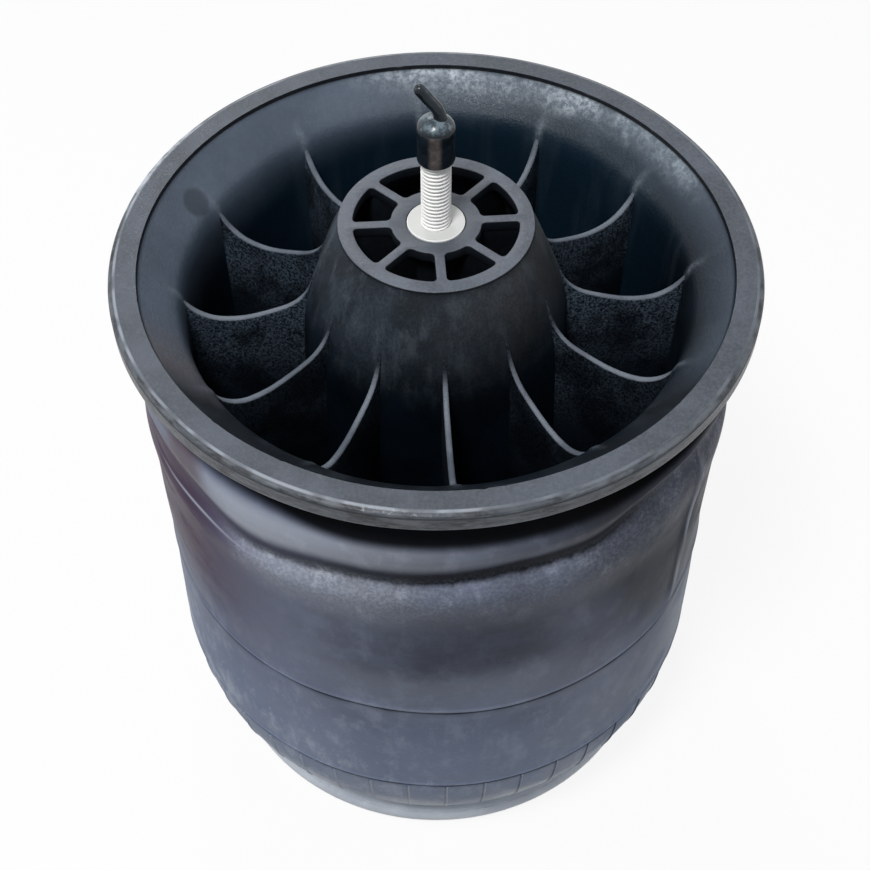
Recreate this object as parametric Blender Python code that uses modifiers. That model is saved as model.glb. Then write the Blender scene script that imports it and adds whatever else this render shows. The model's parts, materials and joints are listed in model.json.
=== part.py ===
"""Rolling lobe air spring, standing on its bead plate with the open end of the piston up.

Metres, +Z up. The origin is the centre of the bead plate's outer face. Every profile is a list of
(radius, height) points that is turned about the Z axis. Heights stack from the bead plate upwards:
bead plate, bumper, end closure, lower bead, piston, stud and thread cap.
"""

import math

import bmesh
import bpy
from mathutils import Matrix, Vector

# Clearances
SEAT_GAP = 0.0003
THREAD_GAP = 0.0003

# Bead plate
PLATE_THICKNESS = 0.003
PLATE_RADIUS = 0.1175
CURL_THICKNESS = 0.003
CURL_END_ANGLE = 122.0

# Bellows
RUBBER_THICKNESS = 0.0045
UPPER_BEAD_RADIUS = 0.0042
LOWER_BEAD_RADIUS = 0.004
BEAD_COVER = 0.0018
SHOULDER_HEIGHT = 0.073
LOBE_ROLL = 0.00745
LOBE_DROP = 0.0208
LOBE_BULGE = 0.0014
CREASE_DEPTH = 0.0012
CREASE_DROP = 0.054
RIDGE_BULGE = 0.0013
STRAIGHT_DROP = 0.080
BEAD_SLIT_ANGLE = 8.0
WRAP_ANGLES = (165.0, 106.0)

# Mounting nuts and air inlet on the bead plate
NUT_INSET = 0.0313
NUT_COUNT = 4
NUT_FLANGE_RADIUS = 0.012
NUT_FLANGE_THICKNESS = 0.0025
NUT_BODY_RADIUS = 0.009
NUT_HEIGHT = 0.017
NUT_BORE_RADIUS = 0.0048
HOLE_CLEARANCE = 0.0004
NUT_BORE_DEPTH = 0.0135
INLET_POSITION_RADIUS = 0.0635
INLET_ANGLE = 45.0
INLET_FLANGE_RADIUS = 0.016
INLET_FLANGE_THICKNESS = 0.003
INLET_BODY_RADIUS = 0.0115
INLET_HEIGHT = 0.014
INLET_BORE_RADIUS = 0.0057

# Bumper and its fastening
BUMPER_HEIGHT = 0.078
BUMPER_FOOT_RADIUS = 0.034
BUMPER_WAIST_RADIUS = 0.036
BUMPER_BELLY_RADIUS = 0.043
BUMPER_HEAD_DEPTH = 0.011
BUMPER_EDGE = 0.004
SCREW_POCKET_DEPTH = 0.030
SCREW_HEAD_RADIUS = 0.0065
SCREW_HEAD_HEIGHT = 0.0053
SCREW_RADIUS = 0.004
SCREW_ENGAGEMENT = 0.011
BUMPER_WASHER_RADIUS = 0.014
BUMPER_WASHER_THICKNESS = 0.0025

# End closure
CLOSURE_THICKNESS = 0.004
CLOSURE_DEPTH = 0.014
CLOSURE_DISH_RADIUS = 0.0552
CLOSURE_FLANGE_RADIUS = 0.070

# Piston stud and bush
STUD_RADIUS = 0.00635
STUD_HEAD_RADIUS = 0.015
STUD_HEAD_HEIGHT = 0.006
STUD_PROJECTION = 0.0515
STUD_POINT_CHAMFER = 0.0012
BUSH_RADIUS = 0.0094
BUSH_FLANGE_RADIUS = 0.0123
BUSH_FLANGE_THICKNESS = 0.0018

# Piston
PISTON_HEIGHT = 0.2238
RIM_RADIUS = 0.140
RIM_FACE_WIDTH = 0.009
RIM_HEIGHT = 0.0094
RIM_CHAMFER = 0.003
WALL_TOP_RADIUS = 0.1143
WALL_FOOT_RADIUS = 0.109
WALL_THICKNESS = 0.004
FLARE_FILLET = 0.014
FUNNEL_DEPTH = 0.017
PISTON_FOOT_FILLET = 0.016
HUB_RISE = 0.0184
HUB_RADIUS = 0.0416
HUB_WALL = 0.005
HUB_DISC_THICKNESS = 0.005
HUB_FOOT_WALL = 0.005
HUB_BELL = (
    (0.0, 0.0),
    (0.0025, 0.0003),
    (0.0095, 0.0034),
    (0.0184, 0.0068),
    (0.0304, 0.0104),
    (0.0424, 0.0134),
    (0.0584, 0.0159),
)
HUB_BELL_DEPTH = 0.1303
BOSS_WALL = 0.0048
RIB_COUNT = 12
RIB_THICKNESS = 0.0036
RIB_DIP = 0.033
RIB_HUB_DROP = 0.0035
RIB_WALL_DROP = 0.014
WINDOW_COUNT = 8
WINDOW_INNER_RADIUS = 0.0193
WINDOW_OUTER_RADIUS = 0.0352
WINDOW_CORNER = 0.0020
SPOKE_WIDTH = 0.0042
WEB_THICKNESS = 0.0034
CLOCK_ANGLE = 4.0

# Thread cap
CAP_RADIUS = 0.0078
CAP_BELOW_TIP = 0.0170
CAP_ROOF = 0.0042
CAP_TAIL_RADIUS = 0.0022
CAP_TAIL_LENGTH = 0.0155
CAP_TAIL_LEAN = 28.0

# Facets round a turn, along the fillet at the piston's foot, where the bellows leaves the curl and
# round the channel in a bead
SHELL_STEPS = 40
RING_STEPS = 26
SMALL_STEPS = 20
FOOT_FACETS = 3
WRAP_FACETS = 2
CHANNEL_FACETS = 7

# Heights that follow from the stack
BUMPER_FOOT_Z = PLATE_THICKNESS + SEAT_GAP
BUMPER_TOP_Z = BUMPER_FOOT_Z + BUMPER_HEIGHT
DISH_UNDER_Z = BUMPER_TOP_Z + SEAT_GAP
DISH_TOP_Z = DISH_UNDER_Z + CLOSURE_THICKNESS
FLANGE_UNDER_Z = DISH_TOP_Z - CLOSURE_DEPTH
FLANGE_TOP_Z = FLANGE_UNDER_Z + CLOSURE_THICKNESS
LOWER_BEAD_Z = FLANGE_TOP_Z + SEAT_GAP + LOWER_BEAD_RADIUS
PISTON_FOOT_Z = LOWER_BEAD_Z + LOWER_BEAD_RADIUS + SEAT_GAP
BOSS_FOOT_Z = DISH_TOP_Z + SEAT_GAP
RIM_Z = PISTON_FOOT_Z + PISTON_HEIGHT
HUB_Z = RIM_Z + HUB_RISE
STUD_TIP_Z = HUB_Z + STUD_PROJECTION
STUD_HEAD_TOP_Z = DISH_UNDER_Z - SEAT_GAP
STUD_HEAD_UNDER_Z = STUD_HEAD_TOP_Z - STUD_HEAD_HEIGHT

# Radii that follow from the fits
RIM_FACE_INNER_RADIUS = RIM_RADIUS - RIM_CHAMFER - RIM_FACE_WIDTH
SLEEVE_RADIUS = WALL_TOP_RADIUS + SEAT_GAP + RUBBER_THICKNESS + 2 * LOBE_ROLL - LOBE_BULGE
UPPER_BEAD_Z = PLATE_THICKNESS + SEAT_GAP + UPPER_BEAD_RADIUS
CURL_INNER_RADIUS = UPPER_BEAD_RADIUS + SEAT_GAP
CURL_OUTER_RADIUS = CURL_INNER_RADIUS + CURL_THICKNESS
UPPER_BEAD_CIRCLE = PLATE_RADIUS - CURL_OUTER_RADIUS
NUT_CIRCLE_RADIUS = UPPER_BEAD_CIRCLE - NUT_INSET
LOWER_BEAD_CIRCLE = CLOSURE_DISH_RADIUS + SEAT_GAP + LOWER_BEAD_RADIUS
HUB_FOOT_INNER_RADIUS = CLOSURE_DISH_RADIUS + SEAT_GAP
HUB_FOOT_RADIUS = HUB_FOOT_INNER_RADIUS + HUB_FOOT_WALL
STUD_HOLE_RADIUS = STUD_RADIUS + THREAD_GAP
BUSH_BORE_RADIUS = BUSH_RADIUS + SEAT_GAP
BOSS_RADIUS = BUSH_BORE_RADIUS + BOSS_WALL


def make_collection(name):
    """A new collection in the scene."""
    collection = bpy.data.collections.new(name)
    bpy.context.scene.collection.children.link(collection)
    return collection


def clear_scene():
    """Takes away every object that the scene starts with."""
    for thing in list(bpy.data.objects):
        bpy.data.objects.remove(thing)


def make_material(name, colour, roughness, metallic=0.0):
    """A plain Principled material."""
    material = bpy.data.materials.new(name)
    material.use_nodes = True
    shader = material.node_tree.nodes["Principled BSDF"]
    shader.inputs["Base Color"].default_value = (*colour, 1.0)
    shader.inputs["Roughness"].default_value = roughness
    shader.inputs["Metallic"].default_value = metallic
    return material


def polar(centre, radius, degrees):
    """The point of the section plane at this angle round a centre."""
    angle = math.radians(degrees)
    return (centre[0] + radius * math.cos(angle), centre[1] + radius * math.sin(angle))


def arc(centre, radius, start, end, count):
    """Points along an arc in the section plane, both ends included, angles in degrees."""
    step = (end - start) / (count - 1)
    return [polar(centre, radius, start + step * i) for i in range(count)]


def signed_area(points):
    """The area of an outline, positive where it runs anticlockwise."""
    pairs = zip(points, points[1:] + points[:1])
    return sum(a[0] * b[1] - b[0] * a[1] for a, b in pairs) / 2


def link_mesh(name, mesh, collection, material=None):
    """An object in a collection for a mesh."""
    thing = bpy.data.objects.new(name, mesh)
    collection.objects.link(thing)
    if material:
        mesh.materials.append(material)
    return thing


def turned(name, outline, steps, collection, material=None, position=(0.0, 0.0, 0.0)):
    """A solid of revolution. The closed outline holds (radius, height) points in any direction."""
    points = list(outline)
    if signed_area(points) > 0:
        points.reverse()
    closed = min(radius for radius, _ in points) > 0
    if not closed:
        points = open_at_axis(points)
    mesh = bpy.data.meshes.new(name)
    count = len(points)
    links = [(i, i + 1) for i in range(count - 1)]
    if closed:
        links.append((count - 1, 0))
    mesh.from_pydata([(radius, 0.0, height) for radius, height in points], links, [])
    thing = link_mesh(name, mesh, collection, material)
    thing.location = position
    screw = thing.modifiers.new("Turn", "SCREW")
    screw.axis = "Z"
    screw.angle = math.tau
    screw.steps = steps
    screw.render_steps = steps
    screw.use_merge_vertices = not closed
    screw.merge_threshold = 0.00001
    screw.use_smooth_shade = True
    return thing


def open_at_axis(points):
    """The outline cut open along its edge on the axis, so that it runs from axis to axis."""
    count = len(points)
    for i in range(count):
        if points[i][0] == 0 and points[(i + 1) % count][0] == 0:
            return [points[(i + 1 + k) % count] for k in range(count)]
    return points


def extruded(name, outline, depth, collection):
    """A prism of a flat outline in the XY plane, centred on that plane, as a welded mesh."""
    curve = bpy.data.curves.new(name, "CURVE")
    curve.dimensions = "2D"
    curve.fill_mode = "BOTH"
    curve.extrude = depth / 2
    spline = curve.splines.new("POLY")
    spline.points.add(len(outline) - 1)
    for point, (x, y) in zip(spline.points, outline):
        point.co = (x, y, 0.0, 1.0)
    spline.use_cyclic_u = True
    guide = bpy.data.objects.new(name + "_outline", curve)
    collection.objects.link(guide)
    bpy.context.view_layer.update()
    graph = bpy.context.evaluated_depsgraph_get()
    mesh = bpy.data.meshes.new_from_object(guide.evaluated_get(graph))
    bpy.data.objects.remove(guide)
    work = bmesh.new()
    work.from_mesh(mesh)
    bmesh.ops.remove_doubles(work, verts=work.verts, dist=0.000001)
    bmesh.ops.recalc_face_normals(work, faces=work.faces)
    work.to_mesh(mesh)
    work.free()
    return mesh


def ring_of_copies(name, mesh, count, first_angle, collection):
    """One helper object that holds copies of a mesh, set evenly round the Z axis."""
    work = bmesh.new()
    for index in range(count):
        turn = Matrix.Rotation(math.radians(first_angle) + math.tau * index / count, 4, "Z")
        copy = mesh.copy()
        copy.transform(turn)
        work.from_mesh(copy)
        bpy.data.meshes.remove(copy)
    joined = bpy.data.meshes.new(name)
    work.to_mesh(joined)
    work.free()
    bpy.data.meshes.remove(mesh)
    return as_helper(link_mesh(name, joined, collection))


def as_helper(thing):
    """Marks an object that only cuts or joins another one."""
    thing.hide_render = True
    thing.display_type = "WIRE"
    return thing


def boolean(thing, other, operation, solver="EXACT"):
    """Adds a Boolean modifier."""
    modifier = thing.modifiers.new(other.name, "BOOLEAN")
    modifier.operation = operation
    modifier.object = other
    modifier.solver = solver


def offset_path(path, distance):
    """The path moved sideways, with mitred bends: a positive distance moves it to its left."""
    sides = []
    for here, ahead in zip(path, path[1:]):
        along = Vector((ahead[0] - here[0], ahead[1] - here[1])).normalized()
        sides.append(Vector((-along.y, along.x)))
    moved = []
    for i, point in enumerate(path):
        before = sides[max(i - 1, 0)]
        after = sides[min(i, len(sides) - 1)]
        shift = (before + after) * distance / (1.0 + before.dot(after))
        moved.append((point[0] + shift.x, point[1] + shift.y))
    return moved


def bead_outline(centre, radius, towards, wall):
    """Half of a bead's section: round the bead, with a slit into the channel for its wire core.

    The wall of the bellows leaves the bead in the direction towards, in degrees.
    """
    shoulder = math.degrees(math.asin(min(0.95, wall / 2 / radius)))
    back = towards + 180.0
    slit = BEAD_SLIT_ANGLE
    first = arc(centre, radius, towards + shoulder, back - slit, 3)
    channel = arc(centre, radius - BEAD_COVER, back - slit, back + slit - 360.0, CHANNEL_FACETS + 1)
    last = arc(centre, radius, back + slit, towards + 360.0 - shoulder, 3)
    return first + channel + last


# The flexible member


def foot_arc(radius):
    """An arc about the centre of the fillet at the piston's foot, from its wall to its floor."""
    centre = (WALL_FOOT_RADIUS - PISTON_FOOT_FILLET, PISTON_FOOT_Z + PISTON_FOOT_FILLET)
    return arc(centre, radius, 0.0, -90.0, FOOT_FACETS + 1)


def shoulder_path(start):
    """Middle line of the sleeve from the crimp to the height where it is straight."""
    middle = SLEEVE_RADIUS - RUBBER_THICKNESS / 2
    rise = SHOULDER_HEIGHT - start[1]
    reach = middle - start[0]
    shares = ((0.28, 0.055), (0.54, 0.20), (0.75, 0.41), (0.92, 0.69), (1.0, 1.0))
    return [(start[0] + reach * a, start[1] + rise * b) for a, b in shares]


def lobe_path():
    """Middle line from the straight sleeve, over the rolling lobe, to the piston's wall."""
    middle = SLEEVE_RADIUS - RUBBER_THICKNESS / 2
    lobe_top = RIM_Z - LOBE_DROP
    against_wall = WALL_TOP_RADIUS + SEAT_GAP + RUBBER_THICKNESS / 2
    outside = middle + LOBE_BULGE
    roll = (outside - against_wall) / 2
    centre = (against_wall + roll, lobe_top - roll)
    swell = CREASE_DROP * 0.7
    path = [
        (middle, RIM_Z - STRAIGHT_DROP),
        (middle + RIDGE_BULGE, RIM_Z - (STRAIGHT_DROP + CREASE_DROP) / 2),
        (middle - CREASE_DEPTH, RIM_Z - CREASE_DROP),
        (outside, RIM_Z - swell),
    ]
    return path + arc(centre, roll, 0.0, 180.0, 7)


def piston_side_path():
    """Middle line down the piston's wall, round its foot and in to the lower bead."""
    lay = SEAT_GAP + RUBBER_THICKNESS / 2
    under = PISTON_FOOT_Z - lay
    bead_edge = LOWER_BEAD_CIRCLE + LOWER_BEAD_RADIUS
    path = foot_arc(PISTON_FOOT_FILLET + lay)
    path.append((bead_edge + RUBBER_THICKNESS, under))
    return path


def make_bellows(collection, material):
    """The reinforced rubber sleeve with its two beads, as one turned wall."""
    upper = (UPPER_BEAD_CIRCLE, UPPER_BEAD_Z)
    lower = (LOWER_BEAD_CIRCLE, LOWER_BEAD_Z)
    half = RUBBER_THICKNESS / 2
    leave, clear = WRAP_ANGLES
    facet = math.radians(leave - clear) / WRAP_FACETS
    wrap = (CURL_OUTER_RADIUS + SEAT_GAP) / math.cos(facet / 2) + half
    path = arc(upper, wrap, leave, clear, WRAP_FACETS + 1)
    path += shoulder_path(path[-1])
    path += lobe_path()
    path += piston_side_path()
    outside = offset_path(path, half)
    inside = offset_path(path, -half)
    last = Vector((path[-1][0] - lower[0], path[-1][1] - lower[1]))
    arrive = math.degrees(math.atan2(last.y, last.x))
    upper_bead = bead_outline(upper, UPPER_BEAD_RADIUS, leave, RUBBER_THICKNESS)
    lower_bead = bead_outline(lower, LOWER_BEAD_RADIUS, arrive, RUBBER_THICKNESS)
    outline = outside + lower_bead + inside[::-1] + upper_bead
    return turned("bellows", outline, SHELL_STEPS, collection, material)


def make_bead_core(name, circle, height, bead_radius, collection, material):
    """A bead's wire core: a steel ring that lies clear of the flats of the bead's channel."""
    half_facet = math.radians(360.0 - 2 * BEAD_SLIT_ANGLE) / CHANNEL_FACETS / 2
    core = (bead_radius - BEAD_COVER) * math.cos(half_facet) - SEAT_GAP
    return turned(name, arc((circle, height), core, 0.0, 300.0, 6), SHELL_STEPS, collection, material)


# The bead plate and what is fixed to it


def mounting_positions():
    """Where the blind nuts stand, as (x, y)."""
    turn = math.tau / NUT_COUNT
    return [
        (NUT_CIRCLE_RADIUS * math.cos(turn * i), NUT_CIRCLE_RADIUS * math.sin(turn * i))
        for i in range(NUT_COUNT)
    ]


def inlet_position():
    """Where the air inlet stands, as (x, y)."""
    angle = math.radians(INLET_ANGLE)
    return (INLET_POSITION_RADIUS * math.cos(angle), INLET_POSITION_RADIUS * math.sin(angle))


def make_bead_plate(parts, helpers, material):
    """The pressed steel plate whose edge curls over the upper bead."""
    centre = (UPPER_BEAD_CIRCLE, UPPER_BEAD_Z)
    outline = [(0.0, 0.0)]
    outline += arc(centre, UPPER_BEAD_Z, -90.0, -60.0, 3)
    outline += arc(centre, CURL_OUTER_RADIUS, -45.0, CURL_END_ANGLE, 7)
    outline += arc(centre, CURL_INNER_RADIUS, CURL_END_ANGLE, -90.0, 8)
    outline.append((0.0, PLATE_THICKNESS))
    plate = turned("bead_plate", outline, SHELL_STEPS, parts, material)
    holes = bmesh.new()
    cut_height = PLATE_THICKNESS * 4
    places = [(x, y, NUT_BORE_RADIUS + HOLE_CLEARANCE) for x, y in mounting_positions()]
    places.append((*inlet_position(), INLET_BORE_RADIUS + HOLE_CLEARANCE))
    for x, y, radius in places:
        bmesh.ops.create_cone(
            holes,
            cap_ends=True,
            segments=SMALL_STEPS,
            radius1=radius,
            radius2=radius,
            depth=cut_height,
            matrix=Matrix.Translation((x, y, 0.0)),
        )
    mesh = bpy.data.meshes.new("plate_holes")
    holes.to_mesh(mesh)
    holes.free()
    boolean(plate, as_helper(link_mesh("plate_holes", mesh, helpers)), "DIFFERENCE")
    return plate


def make_blind_nut(index, x, y, collection, material):
    """A closed weld nut on the inner face of the plate. Its mouth meets the hole in the plate."""
    outline = [
        (NUT_BORE_RADIUS, 0.0),
        (NUT_FLANGE_RADIUS, 0.0),
        (NUT_FLANGE_RADIUS, NUT_FLANGE_THICKNESS),
        (NUT_BODY_RADIUS, NUT_FLANGE_THICKNESS),
        (NUT_BODY_RADIUS, NUT_HEIGHT - NUT_FLANGE_THICKNESS),
        (NUT_BODY_RADIUS - NUT_FLANGE_THICKNESS, NUT_HEIGHT),
        (0.0, NUT_HEIGHT),
        (0.0, NUT_BORE_DEPTH),
        (NUT_BORE_RADIUS, NUT_BORE_DEPTH),
    ]
    foot = PLATE_THICKNESS + SEAT_GAP
    name = f"blind_nut_{index}"
    return turned(name, outline, SMALL_STEPS, collection, material, (x, y, foot))


def make_air_inlet(collection, material):
    """The weld boss with the tapped hole that the air line screws into."""
    outline = [
        (INLET_BORE_RADIUS, 0.0),
        (INLET_FLANGE_RADIUS, 0.0),
        (INLET_FLANGE_RADIUS, INLET_FLANGE_THICKNESS),
        (INLET_BODY_RADIUS, INLET_FLANGE_THICKNESS),
        (INLET_BODY_RADIUS, INLET_HEIGHT),
        (INLET_BORE_RADIUS, INLET_HEIGHT),
    ]
    place = (*inlet_position(), PLATE_THICKNESS + SEAT_GAP)
    return turned("air_inlet_boss", outline, SMALL_STEPS, collection, material, place)


# The bumper, the end closure and the stud


def make_bumper(collection, material):
    """The bump stop: a waisted rubber block whose head fills the dish of the end closure."""
    head = CLOSURE_DISH_RADIUS - CLOSURE_THICKNESS - SEAT_GAP
    top = BUMPER_TOP_Z
    foot = BUMPER_FOOT_Z
    neck = top - BUMPER_HEAD_DEPTH
    body = neck - foot
    pocket = BUMPER_WASHER_RADIUS + SEAT_GAP
    recess_floor = STUD_HEAD_UNDER_Z - SEAT_GAP
    outline = [
        (pocket, foot),
        (BUMPER_FOOT_RADIUS - BUMPER_EDGE, foot),
        (BUMPER_FOOT_RADIUS, foot + BUMPER_EDGE),
        (BUMPER_WAIST_RADIUS, foot + body * 0.30),
        (BUMPER_BELLY_RADIUS, foot + body * 0.50),
        (BUMPER_BELLY_RADIUS, foot + body * 0.62),
        (BUMPER_WAIST_RADIUS, foot + body * 0.82),
        (head, neck),
        (head, top),
        (STUD_HEAD_RADIUS + SEAT_GAP, top),
        (STUD_HEAD_RADIUS + SEAT_GAP, recess_floor),
        (SCREW_RADIUS + THREAD_GAP, recess_floor),
        (SCREW_RADIUS + THREAD_GAP, foot + SCREW_POCKET_DEPTH),
        (pocket, foot + SCREW_POCKET_DEPTH),
    ]
    return turned("bumper", outline, RING_STEPS, collection, material)


def make_bumper_washer(collection, material):
    """The plain washer under the head of the bumper's screw."""
    top = BUMPER_FOOT_Z + SCREW_POCKET_DEPTH - SEAT_GAP
    under = top - BUMPER_WASHER_THICKNESS
    bore = SCREW_RADIUS + THREAD_GAP
    outline = [
        (bore, under),
        (BUMPER_WASHER_RADIUS, under),
        (BUMPER_WASHER_RADIUS, top),
        (bore, top),
    ]
    return turned("bumper_washer", outline, SMALL_STEPS, collection, material)


def make_bumper_screw(collection, material):
    """The screw that holds the bumper to the head of the stud."""
    seat = BUMPER_FOOT_Z + SCREW_POCKET_DEPTH - BUMPER_WASHER_THICKNESS - 2 * SEAT_GAP
    tip = STUD_HEAD_UNDER_Z + SCREW_ENGAGEMENT - SEAT_GAP
    outline = [
        (0.0, seat - SCREW_HEAD_HEIGHT),
        (SCREW_HEAD_RADIUS * 0.9, seat - SCREW_HEAD_HEIGHT),
        (SCREW_HEAD_RADIUS, seat - SCREW_HEAD_HEIGHT * 0.85),
        (SCREW_HEAD_RADIUS, seat),
        (SCREW_RADIUS, seat),
        (SCREW_RADIUS, tip - SCREW_RADIUS * 0.3),
        (SCREW_RADIUS * 0.7, tip),
        (0.0, tip),
    ]
    return turned("bumper_screw", outline, SMALL_STEPS, collection, material)


def make_end_closure(collection, material):
    """The pressed dish that closes the lower bead and carries the stud."""
    inner = CLOSURE_DISH_RADIUS - CLOSURE_THICKNESS
    edge = CLOSURE_THICKNESS * 0.45
    outline = [
        (STUD_HOLE_RADIUS, DISH_UNDER_Z),
        (inner, DISH_UNDER_Z),
        (inner, FLANGE_UNDER_Z),
        (CLOSURE_FLANGE_RADIUS - edge, FLANGE_UNDER_Z),
        (CLOSURE_FLANGE_RADIUS, FLANGE_UNDER_Z + edge),
        (CLOSURE_FLANGE_RADIUS, FLANGE_TOP_Z),
        (CLOSURE_DISH_RADIUS, FLANGE_TOP_Z),
        (CLOSURE_DISH_RADIUS, DISH_TOP_Z - edge),
        (CLOSURE_DISH_RADIUS - edge, DISH_TOP_Z),
        (STUD_HOLE_RADIUS, DISH_TOP_Z),
    ]
    return turned("end_closure", outline, SHELL_STEPS, collection, material)


def make_stud(collection, material):
    """The stud: a round head under the closure and a shank through the piston."""
    socket = SCREW_RADIUS + THREAD_GAP
    outline = [
        (0.0, STUD_TIP_Z),
        (STUD_RADIUS - STUD_POINT_CHAMFER, STUD_TIP_Z),
        (STUD_RADIUS, STUD_TIP_Z - STUD_POINT_CHAMFER),
        (STUD_RADIUS, STUD_HEAD_TOP_Z),
        (STUD_HEAD_RADIUS, STUD_HEAD_TOP_Z),
        (STUD_HEAD_RADIUS, STUD_HEAD_UNDER_Z),
        (socket, STUD_HEAD_UNDER_Z),
        (socket, STUD_HEAD_UNDER_Z + SCREW_ENGAGEMENT),
        (0.0, STUD_HEAD_UNDER_Z + SCREW_ENGAGEMENT),
    ]
    return turned("piston_stud", outline, SMALL_STEPS, collection, material)


def make_bush(collection, material):
    """The flanged steel bush that takes the clamping load through the plastic hub."""
    foot = DISH_TOP_Z + SEAT_GAP
    face = HUB_Z + SEAT_GAP
    outline = [
        (STUD_HOLE_RADIUS, foot),
        (BUSH_RADIUS, foot),
        (BUSH_RADIUS, face - BUSH_FLANGE_THICKNESS),
        (BUSH_FLANGE_RADIUS, face - BUSH_FLANGE_THICKNESS),
        (BUSH_FLANGE_RADIUS, face),
        (STUD_HOLE_RADIUS, face),
    ]
    return turned("compression_bush", outline, SMALL_STEPS, collection, material)


# The piston


def hub_side(inset=0.0):
    """The bell-shaped side of the hub, from the disc down to the cylinder at its foot."""
    points = [(HUB_RADIUS + widening - inset, HUB_Z - drop) for drop, widening in HUB_BELL]
    return points + [(HUB_FOOT_RADIUS - inset, HUB_Z - HUB_BELL_DEPTH)]


def piston_outline():
    """The section of the piston without ribs, webs, boss and windows."""
    flare_foot = RIM_Z - RIM_HEIGHT - FLARE_FILLET
    flare = arc((WALL_TOP_RADIUS + FLARE_FILLET, flare_foot), FLARE_FILLET, 90.0, 180.0, 5)
    foot = foot_arc(PISTON_FOOT_FILLET)
    inner_foot = foot_arc(PISTON_FOOT_FILLET - WALL_THICKNESS)
    disc_under = HUB_Z - HUB_DISC_THICKNESS
    core = [point for point in hub_side(HUB_WALL) if point[1] < disc_under]
    rim = [
        (RIM_FACE_INNER_RADIUS, RIM_Z),
        (RIM_RADIUS - RIM_CHAMFER, RIM_Z),
        (RIM_RADIUS - RIM_CHAMFER * 0.25, RIM_Z - RIM_CHAMFER * 0.35),
        (RIM_RADIUS, RIM_Z - RIM_CHAMFER * 0.8),
        (RIM_RADIUS, RIM_Z - RIM_HEIGHT),
    ]
    throat = WALL_TOP_RADIUS - WALL_THICKNESS
    funnel = [
        (throat, flare_foot),
        (throat + RIM_CHAMFER * 0.75, RIM_Z - FUNNEL_DEPTH),
        (RIM_FACE_INNER_RADIUS - RIM_CHAMFER * 0.7, RIM_Z - RIM_CHAMFER),
    ]
    inner_hub = [(HUB_FOOT_INNER_RADIUS, PISTON_FOOT_Z)] + core[::-1]
    inner_hub.append((core[0][0] - HUB_WALL * 0.3, disc_under))
    in_boss = BOSS_RADIUS - BOSS_WALL * 0.3
    disc = [(in_boss, disc_under), (in_boss, HUB_Z)]
    outer_hub = hub_side() + [(HUB_FOOT_RADIUS, PISTON_FOOT_Z + WALL_THICKNESS)]
    return rim + flare + foot + inner_hub + disc + outer_hub + inner_foot[::-1] + funnel


def boss_outline():
    """The section of the central boss that holds the bush."""
    seat = HUB_Z - BUSH_FLANGE_THICKNESS
    return [
        (BUSH_BORE_RADIUS, BOSS_FOOT_Z),
        (BOSS_RADIUS, BOSS_FOOT_Z),
        (BOSS_RADIUS, HUB_Z),
        (BUSH_FLANGE_RADIUS + SEAT_GAP, HUB_Z),
        (BUSH_FLANGE_RADIUS + SEAT_GAP, seat),
        (BUSH_BORE_RADIUS, seat),
    ]


def rib_outline():
    """A rib seen from its side, as (radius, height): a hanging curve from the hub to the wall."""
    start = (HUB_RADIUS + HUB_WALL, RIM_Z - RIB_HUB_DROP)
    end = (WALL_TOP_RADIUS - WALL_THICKNESS * 0.3, RIM_Z - RIB_WALL_DROP)
    lowest = RIM_Z - RIB_DIP
    count = 12
    top = []
    for i in range(count):
        share = i / (count - 1)
        radius = start[0] + (end[0] - start[0]) * share
        fall = (start[1] - lowest) * (1.0 - min(share / 0.55, 1.0)) ** 2.2
        rise = (end[1] - lowest) * max((share - 0.55) / 0.45, 0.0) ** 3.2
        top.append((radius, lowest + fall + rise))
    in_floor = foot_arc(PISTON_FOOT_FILLET - WALL_THICKNESS * 0.6)
    in_hub_wall = [point for point in hub_side(HUB_WALL * 0.6) if point[1] < start[1] - 0.002]
    hub_foot = (HUB_FOOT_RADIUS - HUB_FOOT_WALL * 0.6, in_floor[-1][1])
    return top + in_floor + [hub_foot] + in_hub_wall[::-1]


def web_outline():
    """A web inside the hub, as (radius, height), from the boss to the hub's wall."""
    inside = BOSS_RADIUS - BOSS_WALL * 0.6
    top = HUB_Z - HUB_DISC_THICKNESS * 0.6
    side = [point for point in hub_side(HUB_WALL * 0.6) if point[1] < top]
    return [(inside, top), (side[0][0], top)] + side + [(side[-1][0], BOSS_FOOT_Z), (inside, BOSS_FOOT_Z)]


def upright(mesh):
    """Turns a prism whose outline was (radius, height) to stand in the XZ plane."""
    mesh.transform(Matrix.Rotation(math.pi / 2, 4, "X"))
    return mesh


def rounded_corners(points, corners, radius):
    """The outline with a small curve in place of each listed corner."""
    result = []
    count = len(points)
    for i, point in enumerate(points):
        if i not in corners:
            result.append(point)
            continue
        here = Vector(point)
        before = Vector(points[i - 1]) - here
        after = Vector(points[(i + 1) % count]) - here
        start = here + before.normalized() * min(radius, before.length * 0.8)
        end = here + after.normalized() * min(radius, after.length * 0.8)
        for share in (0.0, 0.33, 0.67, 1.0):
            curve = start * (1 - share) ** 2 + here * 2 * share * (1 - share) + end * share**2
            result.append((curve.x, curve.y))
    return result


def window_outline():
    """One window of the hub's disc: a ring sector between two spokes, with rounded corners."""
    half_turn = 180.0 / WINDOW_COUNT
    outer_edge = half_turn - math.degrees(math.asin(SPOKE_WIDTH / 2 / WINDOW_OUTER_RADIUS))
    inner_edge = half_turn - math.degrees(math.asin(SPOKE_WIDTH / 2 / WINDOW_INNER_RADIUS))
    outer = arc((0.0, 0.0), WINDOW_OUTER_RADIUS, -outer_edge, outer_edge, 5)
    inner = arc((0.0, 0.0), WINDOW_INNER_RADIUS, inner_edge, -inner_edge, 4)
    corners = (0, len(outer) - 1, len(outer), len(outer) + len(inner) - 1)
    return rounded_corners(outer + inner, corners, WINDOW_CORNER)


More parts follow.
